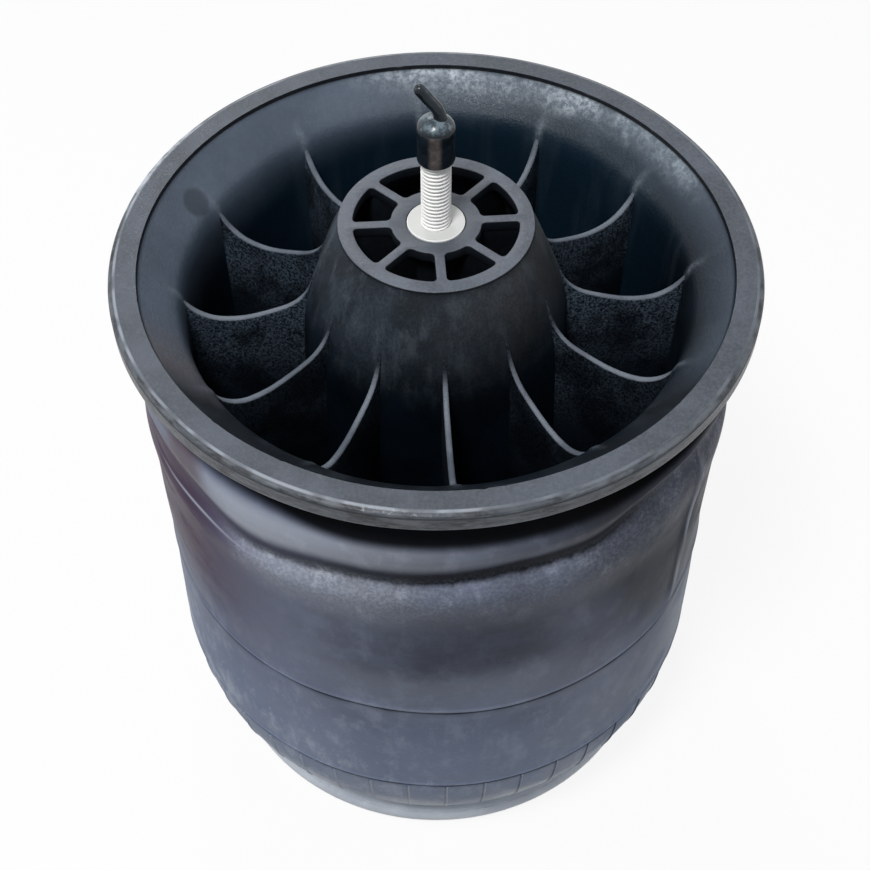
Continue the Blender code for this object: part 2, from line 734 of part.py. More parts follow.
def make_piston(parts, helpers, material):
    """The moulded piston: funnel wall, floor, belled hub, boss, ribs, webs and windows."""
    piston = turned("piston", piston_outline(), SHELL_STEPS, parts, material)
    boss = as_helper(turned("piston_boss", boss_outline(), SMALL_STEPS, helpers))
    boolean(piston, boss, "UNION")
    rib = upright(extruded("rib", rib_outline(), RIB_THICKNESS, helpers))
    ribs = ring_of_copies("piston_ribs", rib, RIB_COUNT, CLOCK_ANGLE, helpers)
    boolean(piston, ribs, "UNION", "MANIFOLD")
    web = upright(extruded("web", web_outline(), WEB_THICKNESS, helpers))
    webs = ring_of_copies("piston_webs", web, WINDOW_COUNT, CLOCK_ANGLE, helpers)
    boolean(piston, webs, "UNION")
    window = extruded("window", window_outline(), HUB_DISC_THICKNESS * 2.4, helpers)
    window.transform(Matrix.Translation((0.0, 0.0, HUB_Z)))
    first_window = CLOCK_ANGLE + 180.0 / WINDOW_COUNT
    windows = ring_of_copies("hub_windows", window, WINDOW_COUNT, first_window, helpers)
    boolean(piston, windows, "DIFFERENCE")
    return piston


# The thread cap


def make_thread_cap(parts, helpers, material):
    """The dipped vinyl cap on the stud, with its pull tail."""
    mouth = STUD_TIP_Z - CAP_BELOW_TIP
    roof = STUD_TIP_Z + SEAT_GAP
    bore = STUD_RADIUS + THREAD_GAP
    top = roof + CAP_ROOF
    dome = [
        (CAP_RADIUS * math.cos(math.radians(a)), top - CAP_RADIUS * 0.85 * (1 - math.sin(math.radians(a))))
        for a in (0.0, 22.5, 45.0, 67.5)
    ]
    outline = [(bore, mouth), (CAP_RADIUS - 0.0003, mouth), (CAP_RADIUS, mouth + 0.0006)]
    outline += dome
    outline += [(0.0, top), (0.0, roof), (bore - 0.001, roof), (bore, roof - 0.001)]
    cap = turned("thread_cap", outline, SMALL_STEPS, parts, material)
    tail = make_cap_tail(top, helpers)
    boolean(cap, tail, "UNION")
    return cap


def make_cap_tail(top, helpers):
    """The tail as a rod with a round end, bent away from the cap's axis."""
    lean = math.radians(CAP_TAIL_LEAN)
    steps = 6
    curve = bpy.data.curves.new("cap_tail", "CURVE")
    curve.dimensions = "3D"
    curve.bevel_depth = CAP_TAIL_RADIUS
    curve.bevel_resolution = 2
    curve.use_fill_caps = True
    spline = curve.splines.new("POLY")
    spline.points.add(steps + 2)
    root = Vector((0.0, 0.0, top - CAP_ROOF * 0.5))
    spline.points[0].co = (*root, 1.0)
    place = Vector((0.0, 0.0, top))
    for i in range(steps + 1):
        share = min(1.0, i / 3)
        angle = lean * share
        if i:
            along = Vector((-math.sin(angle), math.sin(angle) * 0.25, math.cos(angle)))
            place = place + along * (CAP_TAIL_LENGTH / steps)
        spline.points[i + 1].co = (*place, 1.0)
    end = along.normalized() * CAP_TAIL_RADIUS * 0.6
    spline.points[steps + 2].co = (*(place + end), 1.0)
    spline.points[steps + 1].radius = 1.0
    spline.points[steps + 2].radius = 0.62
    guide = bpy.data.objects.new("cap_tail_line", curve)
    helpers.objects.link(guide)
    bpy.context.view_layer.update()
    graph = bpy.context.evaluated_depsgraph_get()
    mesh = bpy.data.meshes.new_from_object(guide.evaluated_get(graph))
    bpy.data.objects.remove(guide)
    work = bmesh.new()
    work.from_mesh(mesh)
    bmesh.ops.remove_doubles(work, verts=work.verts, dist=0.000001)
    bmesh.ops.recalc_face_normals(work, faces=work.faces)
    work.to_mesh(mesh)
    work.free()
    return as_helper(link_mesh("cap_tail", mesh, helpers))


def main():
    clear_scene()
    parts = make_collection("air_spring")
    helpers = make_collection("cutters")
    rubber = make_material("bellows_rubber", (0.060, 0.066, 0.080), 0.55)
    plastic = make_material("piston_plastic", (0.070, 0.076, 0.088), 0.50)
    plate_steel = make_material("bead_plate_coat", (0.22, 0.24, 0.28), 0.45, 0.3)
    steel = make_material("plated_steel", (0.60, 0.60, 0.58), 0.40, 0.9)
    white = make_material("stud_coating", (0.78, 0.78, 0.74), 0.45, 0.1)
    bump = make_material("bumper_rubber", (0.03, 0.03, 0.03), 0.70)
    vinyl = make_material("cap_vinyl", (0.006, 0.006, 0.008), 0.12)

    make_bead_plate(parts, helpers, plate_steel)
    for index, (x, y) in enumerate(mounting_positions(), start=1):
        make_blind_nut(index, x, y, parts, steel)
    make_air_inlet(parts, steel)
    make_bellows(parts, rubber)
    make_bead_core("upper_bead_core", UPPER_BEAD_CIRCLE, UPPER_BEAD_Z, UPPER_BEAD_RADIUS, parts, steel)
    make_bead_core("lower_bead_core", LOWER_BEAD_CIRCLE, LOWER_BEAD_Z, LOWER_BEAD_RADIUS, parts, steel)
    make_end_closure(parts, steel)
    make_stud(parts, white)
    make_bush(parts, white)
    make_bumper(parts, bump)
    make_bumper_washer(parts, steel)
    make_bumper_screw(parts, steel)
    make_piston(parts, helpers, plastic)
    make_thread_cap(parts, helpers, vinyl)


main()
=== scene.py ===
import json
import math

import bmesh
import bpy
from mathutils import Matrix, Vector, noise


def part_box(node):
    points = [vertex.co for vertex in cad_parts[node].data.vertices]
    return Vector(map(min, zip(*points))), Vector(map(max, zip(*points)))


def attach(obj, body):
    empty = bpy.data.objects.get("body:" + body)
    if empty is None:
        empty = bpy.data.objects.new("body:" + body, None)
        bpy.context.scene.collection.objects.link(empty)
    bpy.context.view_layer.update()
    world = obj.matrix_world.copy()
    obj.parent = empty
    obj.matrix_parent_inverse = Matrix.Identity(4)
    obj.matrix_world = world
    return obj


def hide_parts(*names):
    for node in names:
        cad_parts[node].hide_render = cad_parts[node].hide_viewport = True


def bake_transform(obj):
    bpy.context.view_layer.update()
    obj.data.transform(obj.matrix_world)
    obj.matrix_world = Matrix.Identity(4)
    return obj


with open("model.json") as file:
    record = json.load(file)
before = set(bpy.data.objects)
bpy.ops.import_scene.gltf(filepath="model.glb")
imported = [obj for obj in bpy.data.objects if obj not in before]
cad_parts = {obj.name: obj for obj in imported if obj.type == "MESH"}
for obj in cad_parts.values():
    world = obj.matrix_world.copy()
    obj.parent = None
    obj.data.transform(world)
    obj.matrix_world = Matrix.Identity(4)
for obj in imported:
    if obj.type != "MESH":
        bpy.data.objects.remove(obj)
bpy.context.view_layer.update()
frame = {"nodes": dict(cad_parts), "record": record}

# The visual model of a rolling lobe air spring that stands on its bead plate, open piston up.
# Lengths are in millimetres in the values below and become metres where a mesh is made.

MM = 0.001


def node_top(node):
    """The height of a CAD node's top, in millimetres."""
    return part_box(node)[1].z / MM


def node_radius(node):
    """The largest radius of a CAD node about the spring's axis, in millimetres."""
    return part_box(node)[1].x / MM


def mount_height(name):
    """The height of one of the record's mounts, in millimetres."""
    mounts = {mount["name"]: mount for mount in frame["record"]["mounts"]}
    return mounts[name]["pos_m"][2] / MM


# Sizes read from the frame
RIM_Z = mount_height("rim_face")
HUB_Z = mount_height("hub_face")
RIM_RADIUS = node_radius("piston")
STUD_TOP = node_top("piston_stud")
CAP_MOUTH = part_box("thread_cap")[0].z / MM
CLOSURE_TOP = node_top("end_closure")
PLATE_RADIUS = node_radius("bead_plate")
CURL_TOP = node_top("bead_plate")

# Piston
PISTON_FOOT = CLOSURE_TOP - 1.4
WALL = 4.0
WALL_TOP_RADIUS = 114.3
WALL_FOOT_RADIUS = 109.0
RIM_FACE_INNER = 128.0
HUB_RADIUS = 41.6
HUB_FOOT_RADIUS = 60.5
HUB_WALL = 5.0
HUB_BELL = ((0.0, 0.0), (2.5, 0.3), (9.5, 3.4), (18.4, 6.8), (30.4, 10.4), (42.4, 13.4), (58.4, 15.9))
HUB_BELL_DEPTH = 130.3
DISC_THICKNESS = 5.0
RIB_COUNT = 12
RIB_HALF = 1.75
WINDOW_COUNT = 8
WINDOW_INNER = 19.3
WINDOW_OUTER = 35.2
WINDOW_CORNER = 2.6
SPOKE = 4.2
CLOCK = 4.0

# Stud, bush and cap
STUD_RADIUS = 6.35
THREAD_PITCH = 1.954
THREAD_DEPTH = 1.05
BUSH_FLANGE = 12.3
CAP_RADIUS = 7.8

# Sleeve
SLEEVE_RADIUS = 132.6
RUBBER = 4.5
LOBE_TOP_DROP = 18.6
UPPER_SEAM = 146.0
LOWER_SEAM = 76.0
TICK_COUNT = 44
TICK_FOOT = 41.0
TICK_CLOCK = -87.8


# Sections and meshes


def polar(centre, radius, degrees):
    """The point of the section plane at this angle round a centre."""
    angle = math.radians(degrees)
    return (centre[0] + radius * math.cos(angle), centre[1] + radius * math.sin(angle))


def arc(centre, radius, start, end, count):
    """Points along an arc in the section plane, both ends included."""
    return [polar(centre, radius, start + (end - start) * i / (count - 1)) for i in range(count)]


def filleted(corners, closed=True, step=9.0):
    """A section from corners (radius, height, fillet): each corner becomes an arc of that fillet."""
    result = []
    count = len(corners)
    for i, (x, y, fillet) in enumerate(corners):
        here = Vector((x, y))
        if fillet <= 0 or (not closed and i in (0, count - 1)):
            result.append((x, y))
            continue
        before = Vector(corners[i - 1][:2]) - here
        after = Vector(corners[(i + 1) % count][:2]) - here
        turn = before.angle(after)
        reach = min(fillet / math.tan(turn / 2), before.length * 0.49, after.length * 0.49)
        radius = reach * math.tan(turn / 2)
        start = here + before.normalized() * reach
        bisector = (before.normalized() + after.normalized()).normalized()
        centre = here + bisector * (radius / math.sin(turn / 2))
        first = start - centre
        sweep = math.pi - turn
        parts = max(2, int(math.degrees(sweep) / step))
        side = 1.0 if before.cross(after) < 0 else -1.0
        for k in range(parts + 1):
            angle = side * sweep * k / parts
            cosine, sine = math.cos(angle), math.sin(angle)
            spun = Vector((first.x * cosine - first.y * sine, first.x * sine + first.y * cosine))
            result.append(tuple(centre + spun))
    return result


def refined(path, longest, closed=False):
    """The path with points added so that no stretch is longer than this."""
    pairs = list(zip(path, path[1:]))
    if closed:
        pairs.append((path[-1], path[0]))
    result = []
    for (x0, y0), (x1, y1) in pairs:
        parts = max(1, math.ceil(math.hypot(x1 - x0, y1 - y0) / longest))
        result += [(x0 + (x1 - x0) * k / parts, y0 + (y1 - y0) * k / parts) for k in range(parts)]
    if not closed:
        result.append(path[-1])
    return result


def smooth_path(points, count):
    """A smooth path through given points, by Catmull-Rom, with this many points a stretch."""
    result = []
    for i in range(len(points) - 1):
        p0 = points[max(i - 1, 0)]
        p1, p2 = points[i], points[i + 1]
        p3 = points[min(i + 2, len(points) - 1)]
        for k in range(count):
            t = k / count
            point = []
            for a, b, c, d in zip(p0, p1, p2, p3):
                bend = (2 * a - 5 * b + 4 * c - d) * t * t
                point.append(0.5 * (2 * b + (c - a) * t + bend + (3 * b - a - 3 * c + d) * t**3))
            result.append(tuple(point))
    result.append(points[-1])
    return result


def piece(name, mesh, material, body=None, sharp=40.0):
    """An object for a mesh, smooth shaded, that rides on a body of the frame."""
    mesh.shade_smooth()
    mesh.set_sharp_from_angle(angle=math.radians(sharp))
    mesh.materials.append(material)
    thing = bpy.data.objects.new(name, mesh)
    bpy.context.scene.collection.objects.link(thing)
    if body:
        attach(thing, body)
    return thing


def at(angle, radius, height, side=0.0):
    """The point at this turn about the axis, in metres. side moves it along the circle."""
    x = radius * math.cos(angle) - side * math.sin(angle)
    y = radius * math.sin(angle) + side * math.cos(angle)
    return (x * MM, y * MM, height * MM)


def turned_mesh(name, section, steps, shape=None):
    """A mesh turned about the axis. shape(angle, radius, height) may move each of its points."""
    mesh = bpy.data.meshes.new(name)
    points = []
    for j in range(steps):
        angle = math.tau * j / steps
        for radius, height in section:
            points.append(at(angle, *(shape(angle, radius, height) if shape else (radius, height))))
    count = len(section)
    faces = []
    for j in range(steps):
        a = j * count
        b = (j + 1) % steps * count
        for i in range(count):
            k = (i + 1) % count
            faces.append((a + i, b + i, b + k, a + k))
    mesh.from_pydata(points, [], faces)
    work = bmesh.new()
    work.from_mesh(mesh)
    bmesh.ops.remove_doubles(work, verts=work.verts, dist=1e-7)
    bmesh.ops.dissolve_degenerate(work, edges=work.edges, dist=1e-7)
    bmesh.ops.recalc_face_normals(work, faces=work.faces)
    work.to_mesh(mesh)
    work.free()
    return mesh


def lofted_mesh(name, solids):
    """A mesh of solids, each a skin over closed rings of points in metres, with flat ends."""
    work = bmesh.new()
    for rings in solids:
        rows = [[work.verts.new(point) for point in ring] for ring in rings]
        count = len(rows[0])
        for row, ahead in zip(rows, rows[1:]):
            for i in range(count):
                k = (i + 1) % count
                work.faces.new((row[i], row[k], ahead[k], ahead[i]))
        work.faces.new(rows[0])
        work.faces.new(rows[-1][::-1])
    bmesh.ops.recalc_face_normals(work, faces=work.faces)
    mesh = bpy.data.meshes.new(name)
    work.to_mesh(mesh)
    work.free()
    return mesh


def blended(value, low, high):
    """0 below low, 1 above high and smooth between them."""
    share = min(1.0, max(0.0, (value - low) / (high - low)))
    return share * share * (3 - 2 * share)


def bump(value, centre, width):
    """A smooth hump of height 1."""
    return math.exp(-(((value - centre) / width) ** 2))


# Colour and nodes


def linear(code):
    """The linear colour of an sRGB hex value such as 4A4F5A."""
    channels = [int(code[i : i + 2], 16) / 255 for i in (0, 2, 4)]
    return (*[c / 12.92 if c <= 0.04045 else ((c + 0.055) / 1.055) ** 2.4 for c in channels], 1.0)


def add(tree, kind, inputs=None, **settings):
    """Adds a node. inputs holds a value or an output to link, by socket name or number."""
    node = tree.nodes.new(kind)
    for key, value in settings.items():
        setattr(node, key, value)
    for socket, value in (inputs or {}).items():
        if isinstance(value, bpy.types.NodeSocket):
            tree.links.new(value, node.inputs[socket])
        else:
            node.inputs[socket].default_value = value
    return node


def share(*terms):
    """How much of a layer lies at a place: the product of its terms.

    A term is a mask, a number, or (value, low, high, bottom, top), which turns smoothly from
    bottom at low to top at high. Without the last two it turns from 0 to 1.
    """
    product = None
    for term in terms:
        if isinstance(term, tuple):
            value, low, high, bottom, top = (*term, 0.0, 1.0)[:5]
            limits = {"Value": value, "From Min": low, "From Max": high, "To Min": bottom, "To Max": top}
            rise = add(value.id_data, "ShaderNodeMapRange", limits, interpolation_type="SMOOTHSTEP")
            term = rise.outputs["Result"]
        if product is not None:
            both = add(product.id_data, "ShaderNodeMath", {0: product, 1: term}, operation="MULTIPLY")
            term = both.outputs[0]
        product = term
    return product


def lay(under, over, *terms):
    """The colour under with the colour over laid on it. The terms are those of share."""
    under, over = [linear(tone) if isinstance(tone, str) else tone for tone in (under, over)]
    factor = share(*terms)
    mixed = add(factor.id_data, "ShaderNodeMix", {0: factor, 6: under, 7: over}, data_type="RGBA")
    return mixed.outputs[2]


def band(value, centre, half):
    """1 at the centre and 0 where the value is further from it than half."""
    low, high = centre - half * 0.3, centre + half * 0.3
    return share((value, centre - half, low), (value, high, centre + half, 1.0, 0.0))


def mottle(place, size, low, high, detail=4.0, roughness=0.55, upright=1.0):
    """A cloudy mask from 0 to 1 whose clouds are size millimetres across, or that over upright in Z."""
    tree = place.id_data
    if upright != 1.0:
        scaled = add(tree, "ShaderNodeMapping", {"Vector": place, "Scale": (1.0, 1.0, upright)})
        place = scaled.outputs["Vector"]
    pattern = {"Vector": place, "Scale": 1000.0 / size, "Detail": detail, "Roughness": roughness}
    return share((add(tree, "ShaderNodeTexNoise", pattern).outputs["Fac"], low, high))


def whereabouts(place):
    """What masks start from: across, along, height, radius about the axis, and the level vector."""
    tree = place.id_data
    parts = add(tree, "ShaderNodeSeparateXYZ", {0: place}).outputs
    level = add(tree, "ShaderNodeCombineXYZ", {0: parts["X"], 1: parts["Y"]}).outputs[0]
    radius = add(tree, "ShaderNodeVectorMath", {0: level}, operation="LENGTH").outputs["Value"]
    return parts["X"], parts["Y"], parts["Z"], radius, level


def upward(place):
    """How far the surface faces up, from -1 to 1."""
    normal = add(place.id_data, "ShaderNodeNewGeometry").outputs["Normal"]
    return add(place.id_data, "ShaderNodeSeparateXYZ", {0: normal}).outputs["Z"]


def mark(place, name):
    """The mark of this name that write_marks left on the mesh."""
    return add(place.id_data, "ShaderNodeAttribute", attribute_name=name).outputs["Fac"]


def new_material(name, roughness, metallic=0.0, ior=1.5, specular=0.5):
    """A Principled material. Returns it with its shader and object coordinates."""
    material = bpy.data.materials.new(name)
    material.use_nodes = True
    shader = material.node_tree.nodes["Principled BSDF"]
    shader.inputs["Roughness"].default_value = roughness
    shader.inputs["Metallic"].default_value = metallic
    if not metallic:
        shader.inputs["IOR"].default_value = ior
        shader.inputs["Specular IOR Level"].default_value = specular
    place = add(material.node_tree, "ShaderNodeTexCoord").outputs["Object"]
    return material, shader, place


def coat(shader, colour, relief, depth, varied=None):
    """Joins a colour, a relief mask this many millimetres deep and other varied inputs to a shader."""
    tree = shader.id_data
    raised = add(tree, "ShaderNodeBump", {"Height": relief, "Distance": depth * MM, "Strength": 1.0})
    inputs = {"Base Color": colour, "Normal": raised.outputs["Normal"], **(varied or {})}
    for socket, value in inputs.items():
        tree.links.new(value, shader.inputs[socket])


# Materials


def disc_nylon():
    """Glass-fibre nylon of the hub's disc: satin, a little cloudy, with fine dust on its face.

    The walls of the windows never see dust and stay the near-black of the compound.
    """
    material, shader, place = new_material("nylon_moulded_disc", 0.42, ior=1.53, specular=0.3)
    clouds = mottle(place, 16.0, 0.36, 0.68, detail=5.0)
    fibres = mottle(place, 1.6, 0.40, 0.70, detail=6.0, roughness=0.7)
    marks = mottle(place, 5.0, 0.58, 0.72, detail=7.0, roughness=0.75)
    radius = whereabouts(place)[3]
    face = lay("4B5059", "5E646E", clouds)
    face = lay(face, "747A84", fibres, 0.35)
    face = lay(face, "8C929B", marks, 0.5)
    face = lay(face, "42474F", (radius, 0.0170, 0.0220, 0.55, 0.0))
    colour = lay("14181E", face, (upward(place), 0.45, 0.9))
    coat(shader, colour, fibres, 0.03, {"Roughness": share((clouds, 0.0, 1.0, 0.36, 0.5))})
    return material


def core_nylon():
    """The same compound inside the hub, where it is clean and almost black."""
    material, shader, place = new_material("nylon_moulded_core", 0.5, ior=1.53, specular=0.3)
    clouds = mottle(place, 14.0, 0.4, 0.7, detail=5.0)
    flecks = mottle(place, 3.0, 0.55, 0.75, detail=6.0, roughness=0.7)
    colour = lay("080B10", "11171E", clouds)
    coat(shader, lay(colour, "3C4650", flecks, 0.35), flecks, 0.05)
    return material


def funnel_nylon():
    """Glass-fibre nylon of the piston's shell: blue-black in the depth, dusty grey at the hub.

    Towards the rim it is greyer, dust and painted light together that stay off the front wall, and a
    whitish bloom of dried release agent hangs there, mostly at the back and right. Each rib's end runs
    up the wall as a faint painted highlight. The rim is handled most, so its face is rubbed to an even
    satin grey and its side is scuffed; painted highlights run along its edges, a painted reflection
    lies on its outer edge at the back left, and painted shade fills the step inside it.
    """
    material, shader, place = new_material("nylon_moulded_shell", 0.4, ior=1.53, specular=0.25)
    tree = place.id_data
    across, along, height, radius, level = whereabouts(place)
    back_right, back_left = [
        add(tree, "ShaderNodeVectorMath", {0: level, 1: way}, operation="DOT_PRODUCT").outputs["Value"]
        for way in ((0.47, 0.88, 0.0), (-0.906, 0.423, 0.0))
    ]
    facing = upward(place)
    clouds = mottle(place, 45.0, 0.36, 0.66, detail=3.0)
    dust = mottle(place, 0.9, 0.34, 0.70, roughness=0.6, upright=0.3)
    drifts = mottle(place, 24.0, 0.38, 0.66, upright=0.6)
    crumbs = mottle(place, 3.2, 0.40, 0.64, detail=9.0, roughness=0.74)
    pits = mottle(place, 1.5, 0.40, 0.66, detail=5.0, roughness=0.75)
    runs = mottle(place, 15.0, 0.48, 0.70, detail=3.0, upright=0.14)
    wisps = mottle(place, 9.0, 0.46, 0.70, detail=8.0, roughness=0.68, upright=0.35)
    colour = lay("050A10", "0A141D", clouds)
    colour = lay(colour, "11222F", (along, -0.01, 0.09))

    on_hub = share((radius, 0.054, 0.066, 1.0, 0.0), (height, 0.258, 0.322))
    grey_hub = lay("46525E", "56585C", (across, -0.02, 0.04))
    grazed = share(on_hub, (dust, 0.0, 1.0, 0.5, 1.0), (drifts, 0.0, 1.0, 0.3, 1.0))
    colour = lay(colour, grey_hub, grazed, (across, -0.042, -0.008, 0.62, 0.32))
    colour = lay(colour, "6C7680", wisps, on_hub, (across, -0.02, 0.03, 0.32, 0.12))

    wall = share((radius, 0.096, 0.116))
    # The wall's grey towards the rim is dust and painted light together. It reaches deeper on the left
    # and stays off the front wall, which keeps a painted shade.
    lit = height
    for lift in ((across, -0.110, 0.10, 0.029, -0.004), (along, 0.02, 0.11, 0.0, -0.008)):
        lit = add(tree, "ShaderNodeMath", {0: lit, 1: share(lift)}, operation="ADD").outputs[0]
    grey = lay("4A5563", "566170", clouds)
    grey = lay(grey, "6A605E", (along, -0.06, -0.02, 0.5, 0.0), (across, -0.02, 0.02, 1.0, 0.0))
    wall_dust_and_light = share((lit, 0.2820, 0.3150), wall, (along, -0.080, -0.050, 0.03, 1.0))
    colour = lay(colour, grey, wall_dust_and_light, (crumbs, 0.0, 1.0, 0.9, 1.0))
    colour = lay(colour, "5A6671", runs, wall, 0.12)
    load = share((back_right, 0.080, 0.114), wall, (height, 0.295, 0.3065))
    colour = lay(colour, "76838F", load, (drifts, 0.0, 1.0, 0.35, 0.8))
    bloom = share(load, (drifts, 0.0, 1.0, 0.25, 1.0), crumbs)
    colour = lay(colour, "CDD6DE", bloom, (across, 0.07, 0.10, 1.0, 0.45))
    smudge = {0: place, 1: (-0.1084, 0.0449, 0.2959)}
    smudge = add(tree, "ShaderNodeVectorMath", smudge, operation="DISTANCE").outputs["Value"]
    colour = lay(colour, "1C2630", (smudge, 0.0055, 0.0080, 0.6, 0.0))
    # Painted highlight along the ridge that each rib's end raises on the wall.
    colour = lay(colour, "707A84", mark(place, "rib_ridge_highlight"), (crumbs, 0.0, 1.0, 0.3, 0.7))

    rubbed = lay("444951", "515761", drifts)
    rubbed = lay(rubbed, "747A84", pits, 0.25)
    colour = lay(colour, rubbed, (facing, 0.86, 0.98), (height, 0.3060, 0.3074))
    # Painted shade on the small upright step inside the rim face.
    step = share(band(radius, 0.1277, 0.0007), (facing, 0.3, 0.8, 1.0, 0.0))
    colour = lay(colour, "10141A", step, (height, 0.3045, 0.3055))
    patches = mottle(place, 12.0, 0.44, 0.58, detail=5.0, upright=2.2)
    scuffs = mottle(place, 9.0, 0.42, 0.62, detail=6.0, roughness=0.6, upright=5.0)
    edge = lay("484D55", "2A2D32", patches)
    edge = lay(edge, "7C8188", scuffs, 0.4)
    colour = lay(colour, edge, (radius, 0.1366, 0.1385), (facing, 0.90, 0.98, 1.0, 0.0))
    # Painted highlight along the rim's upper outer edge, broken up in patches and weaker to the right.
    patchiness = share((mottle(place, 22.0, 0.40, 0.60, detail=2.0), 0.0, 1.0, 0.3, 1.0))
    upper_edge_highlight = share(band(radius, 0.1374, 0.0009), (height, 0.3064, 0.3070))
    colour = lay(colour, "959BA4", upper_edge_highlight, patchiness, (across, 0.0, 0.06, 1.0, 0.35))
    # Painted reflection on the rim's outer edge at the back left, broken up by the scuffs.
    bevel_reflection = share((back_left, 0.1325, 0.1375), (radius, 0.1360, 0.1380))
    colour = lay(colour, "C2C9D2", bevel_reflection, (scuffs, 0.0, 1.0, 0.25, 0.9))
    # Painted highlight along the rim's lower edge.
    colour = lay(colour, "8A9098", band(height, 0.2990, 0.0008), (radius, 0.1388, 0.1394), patchiness)
    colour = lay(colour, "14171B", band(height, 0.3056, 0.0006), (radius, 0.1390, 0.1394), 0.8)

    dull = add(tree, "ShaderNodeMath", {0: bloom, 1: on_hub}, operation="MAXIMUM").outputs[0]
    varied = {
        "Roughness": share((dull, 0.0, 0.8, 0.34, 0.6)),
        "Specular IOR Level": share((height, 0.262, 0.300, 0.10, 0.25)),
    }
    coat(shader, colour, pits, 0.07, varied)
    return material


def rib_nylon():
    """Nylon on the ribs: pitted, near-black sides and a top edge of a lighter grey.

    The lighter edge darkens where it runs into the hub and into the wall.
    """
    material, shader, place = new_material("nylon_moulded_pitted", 0.42, ior=1.53, specular=0.25)
    _, along, height, radius, _ = whereabouts(place)
    facing = add(place.id_data, "ShaderNodeMath", {0: upward(place)}, operation="ABSOLUTE").outputs[0]
    pits = mottle(place, 1.1, 0.40, 0.66, roughness=0.7)
    drifts = mottle(place, 26.0, 0.34, 0.62, detail=3.0)
    colour = lay("060A11", "0F1720", drifts)
    colour = lay(colour, "020407", (along, -0.06, 0.0, 0.6, 0.0))
    shown = share(pits, (drifts, 0.0, 1.0, 0.3, 1.0), (height, 0.215, 0.276))
    colour = lay(colour, "5A6876", shown, (along, -0.06, 0.01, 0.2, 1.0))
    crest = lay("565D67", "747B85", drifts)
    edge = share((facing, 0.22, 0.55), (radius, 0.0530, 0.0605, 0.12, 1.0))
    colour = lay(colour, crest, edge, (radius, 0.1085, 0.1130, 1.0, 0.6))
    deep = share((height, 0.262, 0.300, 0.10, 0.25))
    coat(shader, colour, pits, 0.10, {"Specular IOR Level": deep})
    return material


